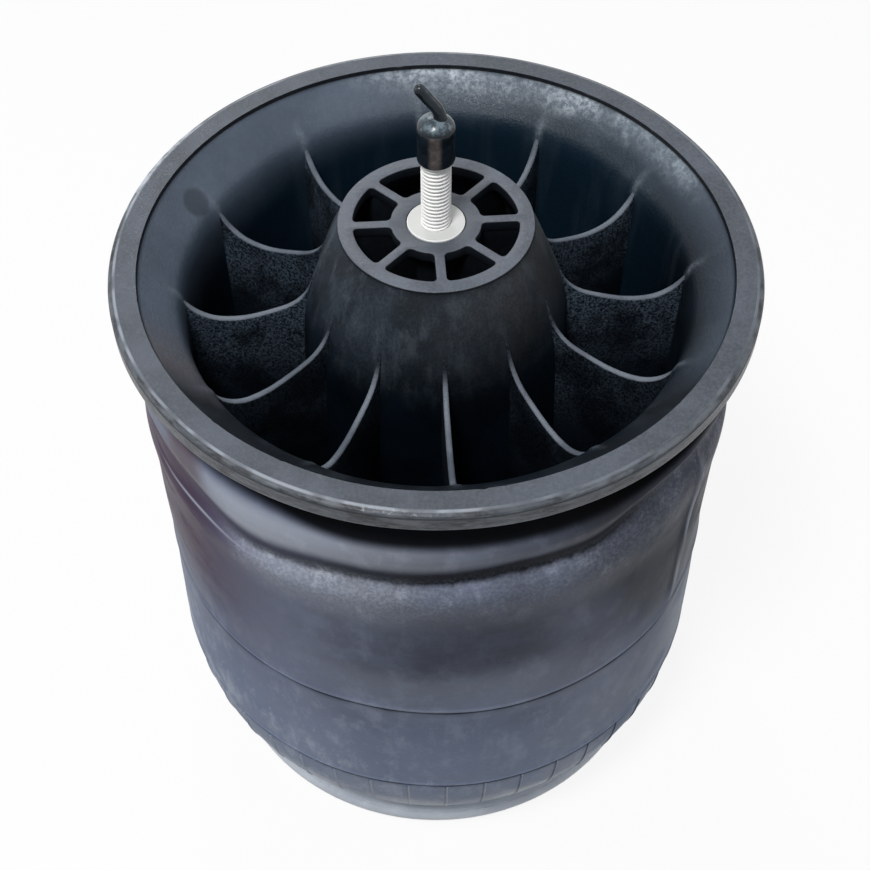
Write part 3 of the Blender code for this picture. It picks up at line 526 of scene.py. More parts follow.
def moulded_rubber():
    """Natural rubber sleeve, cured in a mould: satin blue-grey, cloudy with dust and talc.

    A painted highlight lies along the lobe's bulge, dust and painted light on the ridge below it,
    and painted shade in the fold between them; the upper right is painted in shade. Bloom thickens
    towards the foot and on the left. The mould's steps hold dirt and painted shadow under a painted
    highlight, painted highlights lie on a pleat at the right and a crease at the left, and the vent
    ribs have painted shade on their left side and a painted highlight on their right. The lobe's
    top, under the rim, is painted dark as the rim's shadow, and matt. Heights are those of the
    mould, so a moved sleeve keeps its marks.
    """
    material, shader, place = new_material("rubber_moulded_sleeve", 0.38, ior=1.52)
    tree = place.id_data
    across, along = whereabouts(place)[:2]
    height = mark(place, "mould_height")
    clouds = mottle(place, 70.0, 0.36, 0.62)
    wiped = mottle(place, 26.0, 0.42, 0.68, detail=6.0, roughness=0.62, upright=1.6)
    smears = mottle(place, 12.0, 0.46, 0.68, detail=8.0, roughness=0.7, upright=0.6)
    crumbs = mottle(place, 4.0, 0.57, 0.70, detail=7.0, roughness=0.74)
    grain = mottle(place, 1.6, 0.40, 0.62, detail=6.0, roughness=0.75)
    fine = mottle(place, 1.2, 0.35, 0.65, detail=3.0)
    colour = lay("3C4152", "565E72", clouds)
    colour = lay(colour, "6A7388", wiped, 0.5)
    colour = lay(colour, "838BA0", smears, 0.28)
    colour = lay(colour, "777E96", (across, -0.085, 0.0, 1.0, 0.0), 0.55)
    colour = lay(colour, "242A3A", band(across, 0.020, 0.050), band(height, 0.212, 0.044), 0.6)
    colour = lay(colour, "8990A2", band(across, 0.012, 0.085), band(height, 0.158, 0.028), 0.4)

    front = share((along, -0.040, 0.035, 1.0, 0.1))
    slant = {0: across, 1: 1.6, 2: height}
    slant = add(tree, "ShaderNodeMath", slant, operation="MULTIPLY_ADD").outputs[0]
    # Painted shade on the upper right of the sleeve, the side turned from the light.
    right = share((across, 0.040, 0.072), (slant, 0.295, 0.355), front)
    colour = lay(colour, "161B28", right, 0.85)
    tall = share((height, 0.135, 0.205), (height, 0.262, 0.276, 1.0, 0.0))
    colour = lay(colour, "463448", (across, -0.112, -0.062, 1.0, 0.0), front, tall, 0.95)
    low = share((height, 0.060, 0.190, 1.0, 0.0))
    colour = lay(colour, "7E8CA6", low, 0.7)
    colour = lay(colour, "868E9F", (across, 0.035, 0.085), band(height, 0.124, 0.046), 0.6)

    # Dust and painted light on the ridge below the fold, strongest at the front left.
    ridge = share((height, 0.212, 0.246), (height, 0.250, 0.256, 1.0, 0.0))
    ridge_dust_and_light = share((across, -0.04, 0.03, 1.0, 0.7), (grain, 0.0, 1.0, 0.55, 1.0))
    ridge_dust_and_light = share(ridge_dust_and_light, (smears, 0.0, 1.0, 0.55, 1.0), (across, -0.096, -0.070))
    talc = lay("A4AABA", "C6CBD4", (across, -0.035, 0.010, 1.0, 0.0))
    colour = lay(colour, talc, ridge, ridge_dust_and_light, 0.82)
    # Painted shade in the fold under the lobe, broken up by the grain.
    fold = share(mark(place, "fold_shade"), (grain, 0.0, 1.0, 1.0, 0.88))
    colour = lay(colour, "090B11", fold)
    # Painted highlight along the lobe's bulge, strongest at the front left.
    bulge = share(band(height, 0.2705, 0.0120), (across, -0.10, 0.075, 1.0, 0.0))
    bulge = share(bulge, (across, -0.112, -0.080, 0.3, 1.0), (smears, 0.0, 1.0, 0.84, 1.0))
    colour = lay(colour, "C4CBD7", bulge, (front, 0.0, 1.0, 0.3, 1.0), 0.82)
    stain = share(band(across, -0.104, 0.012), (height, 0.262, 0.272), front)
    colour = lay(colour, "5E4244", stain, 0.6)

    leftish = share((across, -0.09, 0.03, 1.0, 0.35))
    colour = lay(colour, "AAB3C2", low, leftish, smears, 0.7)
    colour = lay(colour, "B4BBC8", crumbs, (low, 0.0, 1.0, 0.05, 0.6), leftish)
    colour = lay(colour, "A8B1BF", (height, 0.038, 0.060, 1.0, 0.0), (smears, 0.0, 1.0, 0.6, 1.0))
    # The steps' mark: below zero a painted highlight, above zero dirt and painted shade.
    marks = mark(place, "step_dirt_shade_and_highlight")
    colour = lay(colour, "B4BBC8", (marks, 0.0, -1.0, 0.0, 0.85))
    colour = lay(colour, "07090D", (marks, 0.0, 1.0, 0.0, 0.95))
    # Painted shadow of the rim on the lobe's top, whose edge sits a little higher on the left.
    dropped = {0: height, 1: share((across, -0.080, -0.030, -0.005, 0.0))}
    dropped = add(tree, "ShaderNodeMath", dropped, operation="ADD").outputs[0]
    rim_shadow = share((dropped, 0.2740, 0.2805))
    colour = lay(colour, "030405", rim_shadow, 0.97)

    matt = add(tree, "ShaderNodeMath", {0: rim_shadow, 1: fold}, operation="MAXIMUM").outputs[0]
    sideways = add(tree, "ShaderNodeMath", {0: across}, operation="ABSOLUTE").outputs[0]
    varied = {
        "Roughness": share((wiped, 0.0, 1.0, 0.34, 0.46)),
        "Specular IOR Level": share((matt, 0.0, 1.0, 0.08, 0.03), (sideways, 0.045, 0.100, 1.0, 0.25)),
    }
    coat(shader, colour, fine, 0.03, varied)
    return material


def coated_steel():
    """Pressed steel under a thin grey cathodic coat: smooth satin, with rubbed patches."""
    material, shader, place = new_material("steel_cathodic_coat", 0.42, ior=1.5)
    clouds = mottle(place, 30.0, 0.35, 0.7, detail=5.0)
    rubs = mottle(place, 7.0, 0.5, 0.72, detail=7.0, roughness=0.7)
    colour = lay("C4CBD6", "D8DFE8", clouds)
    coat(shader, lay(colour, "E2E7EC", rubs, 0.5), rubs, 0.03)
    return material


def plated_steel():
    """Zinc-plated steel as it comes from a barrel: fine speckle and a soft metal sheen."""
    material, shader, place = new_material("steel_zinc_plated", 0.4, metallic=1.0)
    speckle = mottle(place, 1.6, 0.35, 0.7, detail=3.0)
    colour = lay("A9ABA8", "C9CBC8", speckle)
    coat(shader, colour, speckle, 0.01, {"Roughness": share((speckle, 0.0, 1.0, 0.34, 0.48))})
    return material


def white_coating():
    """Baked white fluoropolymer on stud and bush: off-white, with painted shade on the upward faces."""
    material, shader, place = new_material("steel_white_baked_coat", 0.48, ior=1.42)
    clouds = mottle(place, 6.0, 0.4, 0.75, detail=5.0)
    specks = mottle(place, 1.1, 0.66, 0.78)
    colour = lay("F7F7F4", "ECEDEA", clouds)
    # Painted shade that makes the faces that look up greyer.
    colour = lay(colour, "CBCCC9", (upward(place), 0.85, 0.97))
    coat(shader, lay(colour, "A3A29C", specks, 0.5), clouds, 0.02)
    return material


def dipped_vinyl():
    """Black plastisol, dipped: glossy, with a painted sheen on top and a painted reflection in front."""
    material, shader, place = new_material("vinyl_dipped_black", 0.22, ior=1.54, specular=0.22)
    across, along, height = whereabouts(place)[:3]
    facing = upward(place)
    ripple = mottle(place, 6.0, 0.2, 0.8, detail=2.0)
    blotches = mottle(place, 3.4, 0.42, 0.60, detail=5.0, roughness=0.6)
    colour = lay("10171E", "1A232B", ripple)
    # Painted sheen on the top of the dome, broken up in blotches.
    dome_sheen = share((facing, 0.30, 0.75), (blotches, 0.0, 1.0, 0.25, 0.95))
    colour = lay(colour, "6B7A82", dome_sheen, (height, 0.3850, 0.3868, 1.0, 0.15))
    # Painted reflection: a brownish streak down the front of the cap.
    run = share(band(across, -0.0004, 0.0034), (along, -0.004, -0.006))
    run = share(run, (facing, 0.10, 0.30, 1.0, 0.0), (blotches, 0.0, 1.0, 0.55, 0.9))
    coat(shader, lay(colour, "6A625F", run), ripple, 0.22)
    return material


def bumper_rubber():
    """Bump stop rubber: matt black with a fine grain from a blasted mould."""
    material, shader, place = new_material("rubber_moulded_bumper", 0.7, ior=1.52)
    grain = mottle(place, 1.5, 0.35, 0.7)
    coat(shader, lay("1A1B1D", "26282B", grain), grain, 0.06)
    return material


# The piston


def hub_radius(height, inset=0.0):
    """The hub's radius at a height, moved in by inset."""
    steps = [(HUB_Z - drop, HUB_RADIUS + grow) for drop, grow in HUB_BELL]
    steps.append((HUB_Z - HUB_BELL_DEPTH, HUB_FOOT_RADIUS))
    if height >= steps[0][0]:
        return steps[0][1] - inset
    for (z0, r0), (z1, r1) in zip(steps, steps[1:]):
        if height >= z1:
            return r0 + (r1 - r0) * (z0 - height) / (z0 - z1) - inset
    return HUB_FOOT_RADIUS - inset


def hub_side(inset, top, bottom):
    """The hub's bell from top to bottom as a smooth path."""
    steps = [(HUB_RADIUS + grow, HUB_Z - drop) for drop, grow in HUB_BELL]
    steps.append((HUB_FOOT_RADIUS, HUB_Z - HUB_BELL_DEPTH))
    path = smooth_path(steps, 5)
    inside = [(radius - inset, height) for radius, height in path if bottom < height < top]
    return [(hub_radius(top, inset), top)] + inside + [(hub_radius(bottom, inset), bottom)]


def piston_section():
    """The closed section of the piston's shell: rim, funnel wall, floor and belled hub."""
    rim_foot = RIM_Z - 9.4
    floor = PISTON_FOOT + WALL
    disc_under = HUB_Z - DISC_THICKNESS
    outer = filleted(
        [
            (RIM_FACE_INNER, RIM_Z, 0.7),
            (RIM_RADIUS - 3.0, RIM_Z, 1.0),
            (RIM_RADIUS - 0.5, RIM_Z - 1.2, 0.8),
            (RIM_RADIUS - 0.35, RIM_Z - 1.9, 0.0),
            (RIM_RADIUS, RIM_Z - 2.3, 0.3),
            (RIM_RADIUS, rim_foot, 1.0),
            (WALL_TOP_RADIUS, rim_foot, 13.0),
            (WALL_FOOT_RADIUS, PISTON_FOOT, 16.0),
            (HUB_FOOT_RADIUS - HUB_WALL, PISTON_FOOT, 0.5),
            (HUB_FOOT_RADIUS - HUB_WALL, HUB_Z - HUB_BELL_DEPTH, 0.0),
        ],
        closed=False,
    )
    core = hub_side(HUB_WALL, disc_under, HUB_Z - HUB_BELL_DEPTH)[::-1][1:]
    crown = filleted([(WINDOW_OUTER + 0.4, disc_under, 0.0), (WINDOW_OUTER + 0.4, HUB_Z - 0.7, 0.0)])
    bell = hub_side(0.0, HUB_Z - 0.7, HUB_Z - HUB_BELL_DEPTH)
    throat = WALL_TOP_RADIUS - WALL
    inner = filleted(
        [
            (HUB_FOOT_RADIUS, HUB_Z - HUB_BELL_DEPTH, 0.0),
            (HUB_FOOT_RADIUS, floor, 3.0),
            (WALL_FOOT_RADIUS - WALL, floor, 12.0),
            (throat, RIM_Z - 23.4, 30.0),
            (throat + 2.25, RIM_Z - 17.0, 9.0),
            (RIM_FACE_INNER - 1.3, RIM_Z - 3.2, 0.9),
            (RIM_FACE_INNER - 0.4, RIM_Z - 1.9, 0.5),
            (RIM_FACE_INNER, RIM_Z, 0.0),
        ],
        closed=False,
    )
    return outer + core + crown + bell[1:] + inner[1:-1]


def rib_offset(angle, radius):
    """The distance along the circle to the middle of the nearest rib."""
    spacing = 360.0 / RIB_COUNT
    turn = (math.degrees(angle) - CLOCK + spacing / 2) % spacing - spacing / 2
    return math.radians(turn) * radius


def piston_relief(angle, radius, height):
    """Soft roots where the ribs meet hub and wall, knocks in the rim and a slight unevenness."""
    place = Vector((math.cos(angle), math.sin(angle), 0.0))
    moved = noise.noise(place * 3.0) * 0.25 * blended(radius, 100.0, 128.0)
    away = rib_offset(angle, radius)
    if radius <= HUB_FOOT_RADIUS + 0.1:
        moved += 1.6 * bump(away, 0.0, 4.2) * blended(HUB_Z - height, 1.5, 30.0)
    if radius > 96.0 and radius < wall_inside(height) + 0.5:
        fade = 1.0 - blended(height, RIM_Z - 19.0, RIM_Z - 3.5)
        moved -= (0.3 * bump(away, 0.0, 6.0) + 0.6 * bump(away, 0.0, 1.9)) * fade
    knock = max(0.0, noise.noise(place * 55.0) - 0.42) * 3.0
    near = bump(math.hypot(radius - RIM_FACE_INNER, height - RIM_Z), 0.0, 0.7)
    return radius + moved + knock * near * 0.4, height - knock * near * 0.5


def make_piston_shell(material):
    """The turned skin of the piston. It stands for the CAD piston with the pieces below."""
    section = refined(piston_section(), 5.0, closed=True)
    steps = 480
    mesh = turned_mesh("piston_shell", section, steps, shape=piston_relief)
    # Marks for a painted highlight along the ridge that each rib's end raises on the wall.
    lines = []
    for j in range(steps):
        for radius, height in section:
            away = rib_offset(math.tau * j / steps, radius)
            on_wall = 96.0 < radius < RIM_FACE_INNER and height > RIM_Z - 30.0
            fade = blended(height, RIM_Z - 26.0, RIM_Z - 20.0)
            fade *= 1.0 - blended(height, RIM_Z - 18.0, RIM_Z - 9.0)
            lines.append(bump(away, 0.0, 1.7) * fade if on_wall else 0.0)
    write_marks(mesh, "rib_ridge_highlight", lines)
    shell = piece("piston_shell", mesh, material, "piston_body", sharp=50.0)
    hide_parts("piston")


def rib_crest():
    """A rib's top edge, as (radius, height): it leaves hub and wall at a grazing angle."""
    picked = [
        (48.2, RIM_Z + 1.0),
        (51.3, RIM_Z - 5.0),
        (53.6, RIM_Z - 11.0),
        (55.5, RIM_Z - 16.4),
        (58.2, RIM_Z - 21.2),
        (62.4, RIM_Z - 25.4),
        (68.0, RIM_Z - 28.4),
        (80.0, RIM_Z - 32.2),
        (88.0, RIM_Z - 33.4),
        (95.0, RIM_Z - 33.0),
        (100.0, RIM_Z - 31.4),
        (104.6, RIM_Z - 28.4),
        (108.2, RIM_Z - 24.6),
        (110.8, RIM_Z - 20.6),
        (112.8, RIM_Z - 17.0),
        (116.4, RIM_Z - 13.6),
    ]
    return smooth_path(picked, 4)


def wall_inside(height):
    """The inner radius of the funnel wall at a height."""
    throat = WALL_TOP_RADIUS - WALL
    if height > RIM_Z - 17.0:
        return throat + 2.25 + (height - RIM_Z + 17.0) * 0.954
    if height > RIM_Z - 23.4:
        return throat + (height - RIM_Z + 23.4) * 0.352
    share = (height - PISTON_FOOT) / (RIM_Z - 23.4 - PISTON_FOOT)
    return WALL_FOOT_RADIUS - WALL + (WALL_TOP_RADIUS - WALL_FOOT_RADIUS) * share


def rib_foot(radius):
    """How deep a rib reaches at a radius: it stays inside the shells of hub and wall."""
    if radius >= HUB_FOOT_RADIUS - 2.0:
        height = PISTON_FOOT + WALL * 0.5
        while height < RIM_Z and wall_inside(height) + WALL * 0.5 < radius:
            height += 1.0
        return height
    height = HUB_Z - HUB_BELL_DEPTH
    while height < RIM_Z and hub_radius(height, 2.0) > radius:
        height += 1.0
    return height


def make_ribs(material):
    """The ribs: thin webs with a drafted section whose rounded crest fades out at both ends."""
    crest_line = rib_crest()
    reach = [0.0]
    for (r0, z0), (r1, z1) in zip(crest_line, crest_line[1:]):
        reach.append(reach[-1] + math.hypot(r1 - r0, z1 - z0))
    for index in range(RIB_COUNT):
        rings = []
        turn = math.radians(CLOCK + 360.0 / RIB_COUNT * index)
        lean = noise.noise(Vector((index * 1.7, 0.3, 0.0))) * 0.3
        for (radius, top), run in zip(crest_line, reach):
            foot = min(rib_foot(radius), top - 2.2)
            fade = blended(run, 4.0, 24.0) * blended(reach[-1] - run, 3.0, 16.0)
            broad = RIB_HALF * (0.62 + 0.33 * run / reach[-1])
            crest = 0.35 + (broad - 0.35) * fade
            curl = min(crest, 1.6)
            section = [(RIB_HALF * 1.15, foot), (RIB_HALF, top - 10.0), (crest + 0.12, top - curl - 1.2)]
            for angle in (0.0, 22.0, 45.0, 68.0):
                side, lift = polar((0.0, 0.0), 1.0, angle)
                section.append((crest * side, top - curl + curl * lift))
            ring = section + [(0.0, top)] + [(-side, height) for side, height in section[::-1]]
            rings.append([at(turn, radius, max(height, foot), side + lean) for side, height in ring])
        name = f"piston_rib_{index + 1}"
        rib = piece(name, lofted_mesh(name, [rings]), material, "piston_body", sharp=60.0)


def window_outline():
    """One window of the hub's disc: a ring sector between two spokes, with rounded corners."""
    half_turn = 180.0 / WINDOW_COUNT
    outer_edge = half_turn - math.degrees(math.asin(SPOKE / 2 / WINDOW_OUTER))
    inner_edge = half_turn - math.degrees(math.asin(SPOKE / 2 / WINDOW_INNER))
    outer = arc((0.0, 0.0), WINDOW_OUTER, -outer_edge, outer_edge, 13)
    inner = arc((0.0, 0.0), WINDOW_INNER, inner_edge, -inner_edge, 7)
    ends = (outer[0], outer[-1], inner[0], inner[-1])
    corners = [(x, y, WINDOW_CORNER if (x, y) in ends else 0.0) for x, y in outer + inner]
    trimmed = [c for i, c in enumerate(corners) if i not in (1, 11, 14, 18)]
    return filleted(trimmed, step=15.0)


def flat_curve(name, outlines, thickness, edge):
    """A flat plate from outlines, holes included, with rounded edges, as a mesh about z = 0."""
    curve = bpy.data.curves.new(name, "CURVE")
    curve.dimensions = "2D"
    curve.fill_mode = "BOTH"
    curve.extrude = (thickness / 2 - edge) * MM
    curve.bevel_depth = edge * MM
    curve.bevel_resolution = 2
    curve.offset = -edge * MM
    for outline in outlines:
        spline = curve.splines.new("POLY")
        spline.points.add(len(outline) - 1)
        for point, (x, y) in zip(spline.points, outline):
            point.co = (x * MM, y * MM, 0.0, 1.0)
        spline.use_cyclic_u = True
    guide = bpy.data.objects.new(name, curve)
    bpy.context.scene.collection.objects.link(guide)
    bpy.context.view_layer.update()
    graph = bpy.context.evaluated_depsgraph_get()
    mesh = bpy.data.meshes.new_from_object(guide.evaluated_get(graph))
    bpy.data.objects.remove(guide)
    work = bmesh.new()
    work.from_mesh(mesh)
    bmesh.ops.remove_doubles(work, verts=work.verts, dist=1e-6)
    bmesh.ops.recalc_face_normals(work, faces=work.faces)
    work.to_mesh(mesh)
    work.free()
    return mesh


def make_hub_disc(material):
    """The windowed disc on the hub, whose edges and corners are softly rounded."""
    rim = arc((0.0, 0.0), HUB_RADIUS, 0.0, 357.5, 144)
    hole = arc((0.0, 0.0), BUSH_FLANGE + 0.3, 0.0, 355.0, 72)
    outlines = [rim, hole]
    for index in range(WINDOW_COUNT):
        turn = math.radians(CLOCK + 360.0 / WINDOW_COUNT * (index + 0.5))
        cosine, sine = math.cos(turn), math.sin(turn)
        outlines.append([(x * cosine - y * sine, x * sine + y * cosine) for x, y in window_outline()])
    mesh = flat_curve("hub_disc", outlines, DISC_THICKNESS, 0.45)
    mesh.transform(Matrix.Translation((0.0, 0.0, (HUB_Z - DISC_THICKNESS / 2) * MM)))
    piece("hub_disc", mesh, material, "piston_body", sharp=35.0)


def make_hub_inside(material):
    """The boss round the bush and the webs under the spokes."""
    foot = CLOSURE_TOP + 0.3
    head = HUB_Z - 3.0
    mesh = turned_mesh("hub_boss", [(9.7, foot), (14.5, foot), (14.5, head), (9.7, head)], 72)
    piece("hub_boss", mesh, material, "piston_body")
    outline = [(12.0, foot), (12.0, head)]
    outline += [(hub_radius(z, 2.5), z) for z in (head, 305.0, 284.0, 262.0, 240.0, 196.0)]
    outline.append((HUB_FOOT_RADIUS - 2.5, foot))
    webs = []
    for index in range(WINDOW_COUNT):
        turn = math.radians(CLOCK + 360.0 / WINDOW_COUNT * index)
        webs.append([[at(turn, r, z, side) for r, z in outline] for side in (-1.7, 1.7)])
    mesh = lofted_mesh("hub_webs", webs)
    piece("hub_webs", mesh, material, "piston_body", sharp=30.0)


# The sleeve


def lobe_section(inset=0.0):
    """The lobe over its top, from its outer bulge to the piston's wall, moved in by inset."""
    against_wall = WALL_TOP_RADIUS + 0.3
    top = RIM_Z - LOBE_TOP_DROP
    picked = [
        (134.5 - inset, top - 17.6),
        (134.0 - inset, top - 12.6),
        (132.6 - inset, top - 8.2),
        (130.3 - inset * 0.8, top - 4.7 - inset * 0.55),
        (127.0 - inset * 0.4, top - 1.6 - inset * 0.9),
        (123.0, top - inset),
    ]
    down = [
        (123.0, top - inset),
        (119.6 + inset * 0.45, top - 1.2 - inset * 0.9),
        (116.6 + inset * 0.8, top - 4.2 - inset * 0.55),
        (115.0 + inset, top - 8.6),
        (against_wall + inset, top - 14.0),
    ]
    return smooth_path(picked, 5), smooth_path(down, 4)


def sleeve_outside():
    """The outer profile of the sleeve from the curl up to the lobe's top."""
    picked = [
        (PLATE_RADIUS - 9.6, CURL_TOP + 5.6),
        (PLATE_RADIUS - 3.6, CURL_TOP + 6.6),
        (118.3, 25.6),
        (123.0, 34.4),
        (127.4, 44.4),
        (130.8, 56.6),
        (132.6, 70.0),
        (133.5, 86.0),
        (133.3, 110.0),
        (SLEEVE_RADIUS, 146.0),
        (SLEEVE_RADIUS, 190.0),
        (132.7, 212.0),
        (133.3, 224.0),
        (134.0, 233.0),
        (133.9, 238.5),
        (132.5, 243.4),
        (130.6, 247.4),
        (129.9, 251.0),
        (130.7, 255.4),
        (132.4, 260.4),
        (133.9, 265.4),
        (134.5, 269.4),
    ]
    return smooth_path(picked, 10)


def dense_at_seams(path):
    """The path in short steps, and in very short ones across the mould's parting lines."""
    result = []
    for here, ahead in zip(path, path[1:]):
        near = min(abs((here[1] + ahead[1]) / 2 - seam) for seam in (UPPER_SEAM, LOWER_SEAM))
        result += refined([here, ahead], 0.4 if near < 6.0 else 1.8)[:-1]
    result.append(path[-1])
    return result


def seam_drift(angle):
    """How far the parting lines stray from a level ring at this angle."""
    place = Vector((math.cos(angle), math.sin(angle), 0.0))
    return 0.5 * math.sin(angle * 3.0 + 1.0) + 0.8 * noise.noise(place * 2.2)


def fold_drift(turn):
    """How far the fold under the lobe strays from a level ring, at this many degrees round."""
    place = Vector((math.cos(math.radians(turn)), math.sin(math.radians(turn)), 4.0))
    drift = 0.6 * noise.noise(place * 2.6) + 3.0 * bump(turn, 287.0, 13.0)
    drift -= 8.5 * bump(turn, 234.0, 12.0) + 2.6 * bump(turn, 262.0, 17.0)
    return drift + 13.0 * blended(turn, 297.0, 314.0) * (1.0 - blended(turn, 324.0, 345.0))


def pleat(angle, height):
    """The upright pleat at the right: 1 on its crest, with the offset from it along the sleeve."""
    offset = math.radians(math.degrees(angle) % 360.0 - 328.0) * SLEEVE_RADIUS - (height - 200.0) * 0.05
    reach = blended(height, 140.0, 168.0) * (1.0 - blended(height, 236.0, 256.0))
    return reach * bump(offset, 0.0, 3.0), offset


def sleeve_shape(angle, radius, height):
    """Soft unevenness of the standing sleeve: folds under the lobe, dents and parting lines."""
    place = Vector((math.cos(angle), math.sin(angle), height / 130.0))
    mid = blended(height, 30.0, 110.0) * (1.0 - blended(height, 262.0, 284.0))
    swell = noise.noise(place * 1.6) * 0.8 * mid
    swell += noise.noise(place * 4.0 + Vector((5.0, 2.0, 1.0))) * 0.35 * mid
    lines = 0.0
    for seam in (UPPER_SEAM, LOWER_SEAM):
        offset = height - seam - seam_drift(angle)
        lines += 0.5 * bump(offset, 1.6, 1.5) - 0.7 * bump(offset, -0.5, 0.8)
    raised = 1.3 * pleat(angle, height)[0]
    turn = math.degrees(angle) % 360.0
    flat_left = bump(turn, 200.0, 26.0)
    filled = 3.0 * flat_left * bump(height, 250.5, 6.5)
    drift = fold_drift(turn) * bump(height, 255.0, 17.0)
    return radius + swell + lines + raised + filled, height + drift


def write_marks(mesh, name, values):
    """Writes a value for each point of the mesh under a name that its material reads."""
    mesh.attributes.new(name, "FLOAT", "POINT").data.foreach_set("value", values)


def mark_sleeve(mesh, section, steps):
    """Marks the mould's steps with dirt and painted shadow, painted highlights, and the fold's painted
    shade.
    """
    marks, folds = [], []
    for j in range(steps):
        angle = math.tau * j / steps
        turn = math.degrees(angle)
        place = Vector((math.cos(angle), math.sin(angle), 0.0))
        patchiness = 0.85 + 0.4 * noise.noise(place * 9.0)
        ragged = 1.1 * noise.noise(place * 30.0) + 0.8 * noise.noise(place * 70.0)
        depth = (0.58 + 0.42 * bump(turn, 281.0, 29.0)) * blended(turn, 222.0, 238.0)
        depth *= 1.0 - blended(turn, 304.0, 322.0)
        for _, height in section:
            offsets = [height - seam - seam_drift(angle) for seam in (UPPER_SEAM, LOWER_SEAM)]
            # A dark line in each step, dirt and painted shadow, with a softer painted shadow below it.
            dirt = max(bump(offset, -0.4, 1.0) + 0.3 * bump(offset, -2.6, 2.2) for offset in offsets)
            # A painted highlight on the ledge above each step.
            light = max(bump(offset, 2.0, 0.9) for offset in offsets)
            crest, offset = pleat(angle, height)
            # Painted highlights on the pleat's crest, on the ledges and on a crease at the left.
            rubbed = 1.1 * crest * bump(offset, -0.8, 1.3) + 0.35 * light * (1.6 - patchiness)
            rubbed += 0.8 * bump(turn, 219.0, 13.0) * bump(height, 243.0, 1.0)
            marks.append(patchiness * dirt - rubbed)
            # Painted shade in the fold under the lobe, with a ragged upper edge.
            clean = blended(height + ragged, 247.0, 250.5) * (1.0 - blended(height, 256.0, 264.5))
            folds.append(depth * clean)
    write_marks(mesh, "step_dirt_shade_and_highlight", marks)
    write_marks(mesh, "fold_shade", folds)
    write_marks(mesh, "mould_height", [height * MM for _, height in section] * steps)


def sleeve_inner_side():
    """Outer and inner lines of the sleeve where it lies on the piston, from the lobe down."""
    lay = 0.3
    outer = lobe_section()[1]
    inner = lobe_section(RUBBER)[1]
    foot = (WALL_FOOT_RADIUS - 16.0, PISTON_FOOT + 16.0)
    outer += arc(foot, 16.0 + lay, 0.0, -90.0, 12)
    inner += arc(foot, 16.0 + lay + RUBBER, 0.0, -90.0, 12)
    bead_edge = 66.0
    outer.append((bead_edge, PISTON_FOOT - lay))
    inner.append((bead_edge, PISTON_FOOT - lay - RUBBER))
    return outer, inner


def make_sleeve(material):
    """The rubber sleeve in two skins that meet on top of the lobe.

    The lobe travels half of the stroke.
    """
    steps = 360
    outside = sleeve_outside()
    skin = dense_at_seams(outside + lobe_section()[0][1:])
    lining = lobe_section(RUBBER)[0][::-1]
    lining += [(radius - RUBBER, height) for radius, height in outside[::-1] if height < 264.0]
    section = skin + refined(lining, 6.0)
    outer_mesh = turned_mesh("sleeve_outer", section, steps, shape=sleeve_shape)
    mark_sleeve(outer_mesh, section, steps)
    outer = piece("sleeve_outer", outer_mesh, material, sharp=75.0)
    line, lining = sleeve_inner_side()
    section = refined(line, 9.0) + refined(lining, 9.0)[::-1]
    inner_mesh = turned_mesh("sleeve_inner", section, 160)
    write_marks(inner_mesh, "mould_height", [0.180] * (len(section) * 160))
    inner = piece("sleeve_inner", inner_mesh, material, sharp=75.0)
    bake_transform(outer)
    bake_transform(inner)
    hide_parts("bellows")
    make_ticks(material)


def make_ticks(material):
    """Thin vent ribs of the mould, in a row between the lower parting line and the curl.

    Each rib has painted shade on its left side and a painted highlight on its right.
    """
    run = [point for point in sleeve_outside() if TICK_FOOT < point[1] < LOWER_SEAM - 1.0]
    # For each side: its offset, its lift and its painted light, shade above zero and highlight below.
    sides = ((-1.1, -0.4, 1.0), (-0.35, 0.5, 0.5), (0.35, 0.5, -0.7), (1.2, -0.4, -0.5))
    ribs, values, heights = [], [], []
    for index in range(TICK_COUNT):
        angle = math.radians(TICK_CLOCK + 360.0 / TICK_COUNT * index)
        rings = []
        for radius, height in run:
            r, z = sleeve_shape(angle, radius, height)
            rings.append([at(angle, r + lift, z, side) for side, lift, _ in sides])
            values += [rubbed for _, _, rubbed in sides]
            heights += [height * MM] * len(sides)
        ribs.append(rings)
    mesh = lofted_mesh("sleeve_vent_ribs", ribs)
    write_marks(mesh, "step_dirt_shade_and_highlight", values)
    write_marks(mesh, "mould_height", heights)
    ticks = piece("sleeve_vent_ribs", mesh, material, sharp=60.0)
    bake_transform(ticks)


# The bead plate, stud, bush and cap


def make_curl(material):
    """The visible curl as its own ring over the CAD plate's edge, with the crimping tool's line."""
    tube = CURL_TOP / 2
    centre = (PLATE_RADIUS - tube, tube + 0.02)
    section = arc(centre, tube + 0.02, -88.0, 34.0, 20)
    section += arc(centre, tube - 0.45, 37.0, 43.0, 3)
    section += arc(centre, tube + 0.02, 46.0, 122.0, 14)
    section += arc(centre, tube - 2.9, 122.0, -88.0, 22)
    mesh = turned_mesh("bead_plate_curl", section, 240)
    piece("bead_plate_curl", mesh, material, "plate_body")


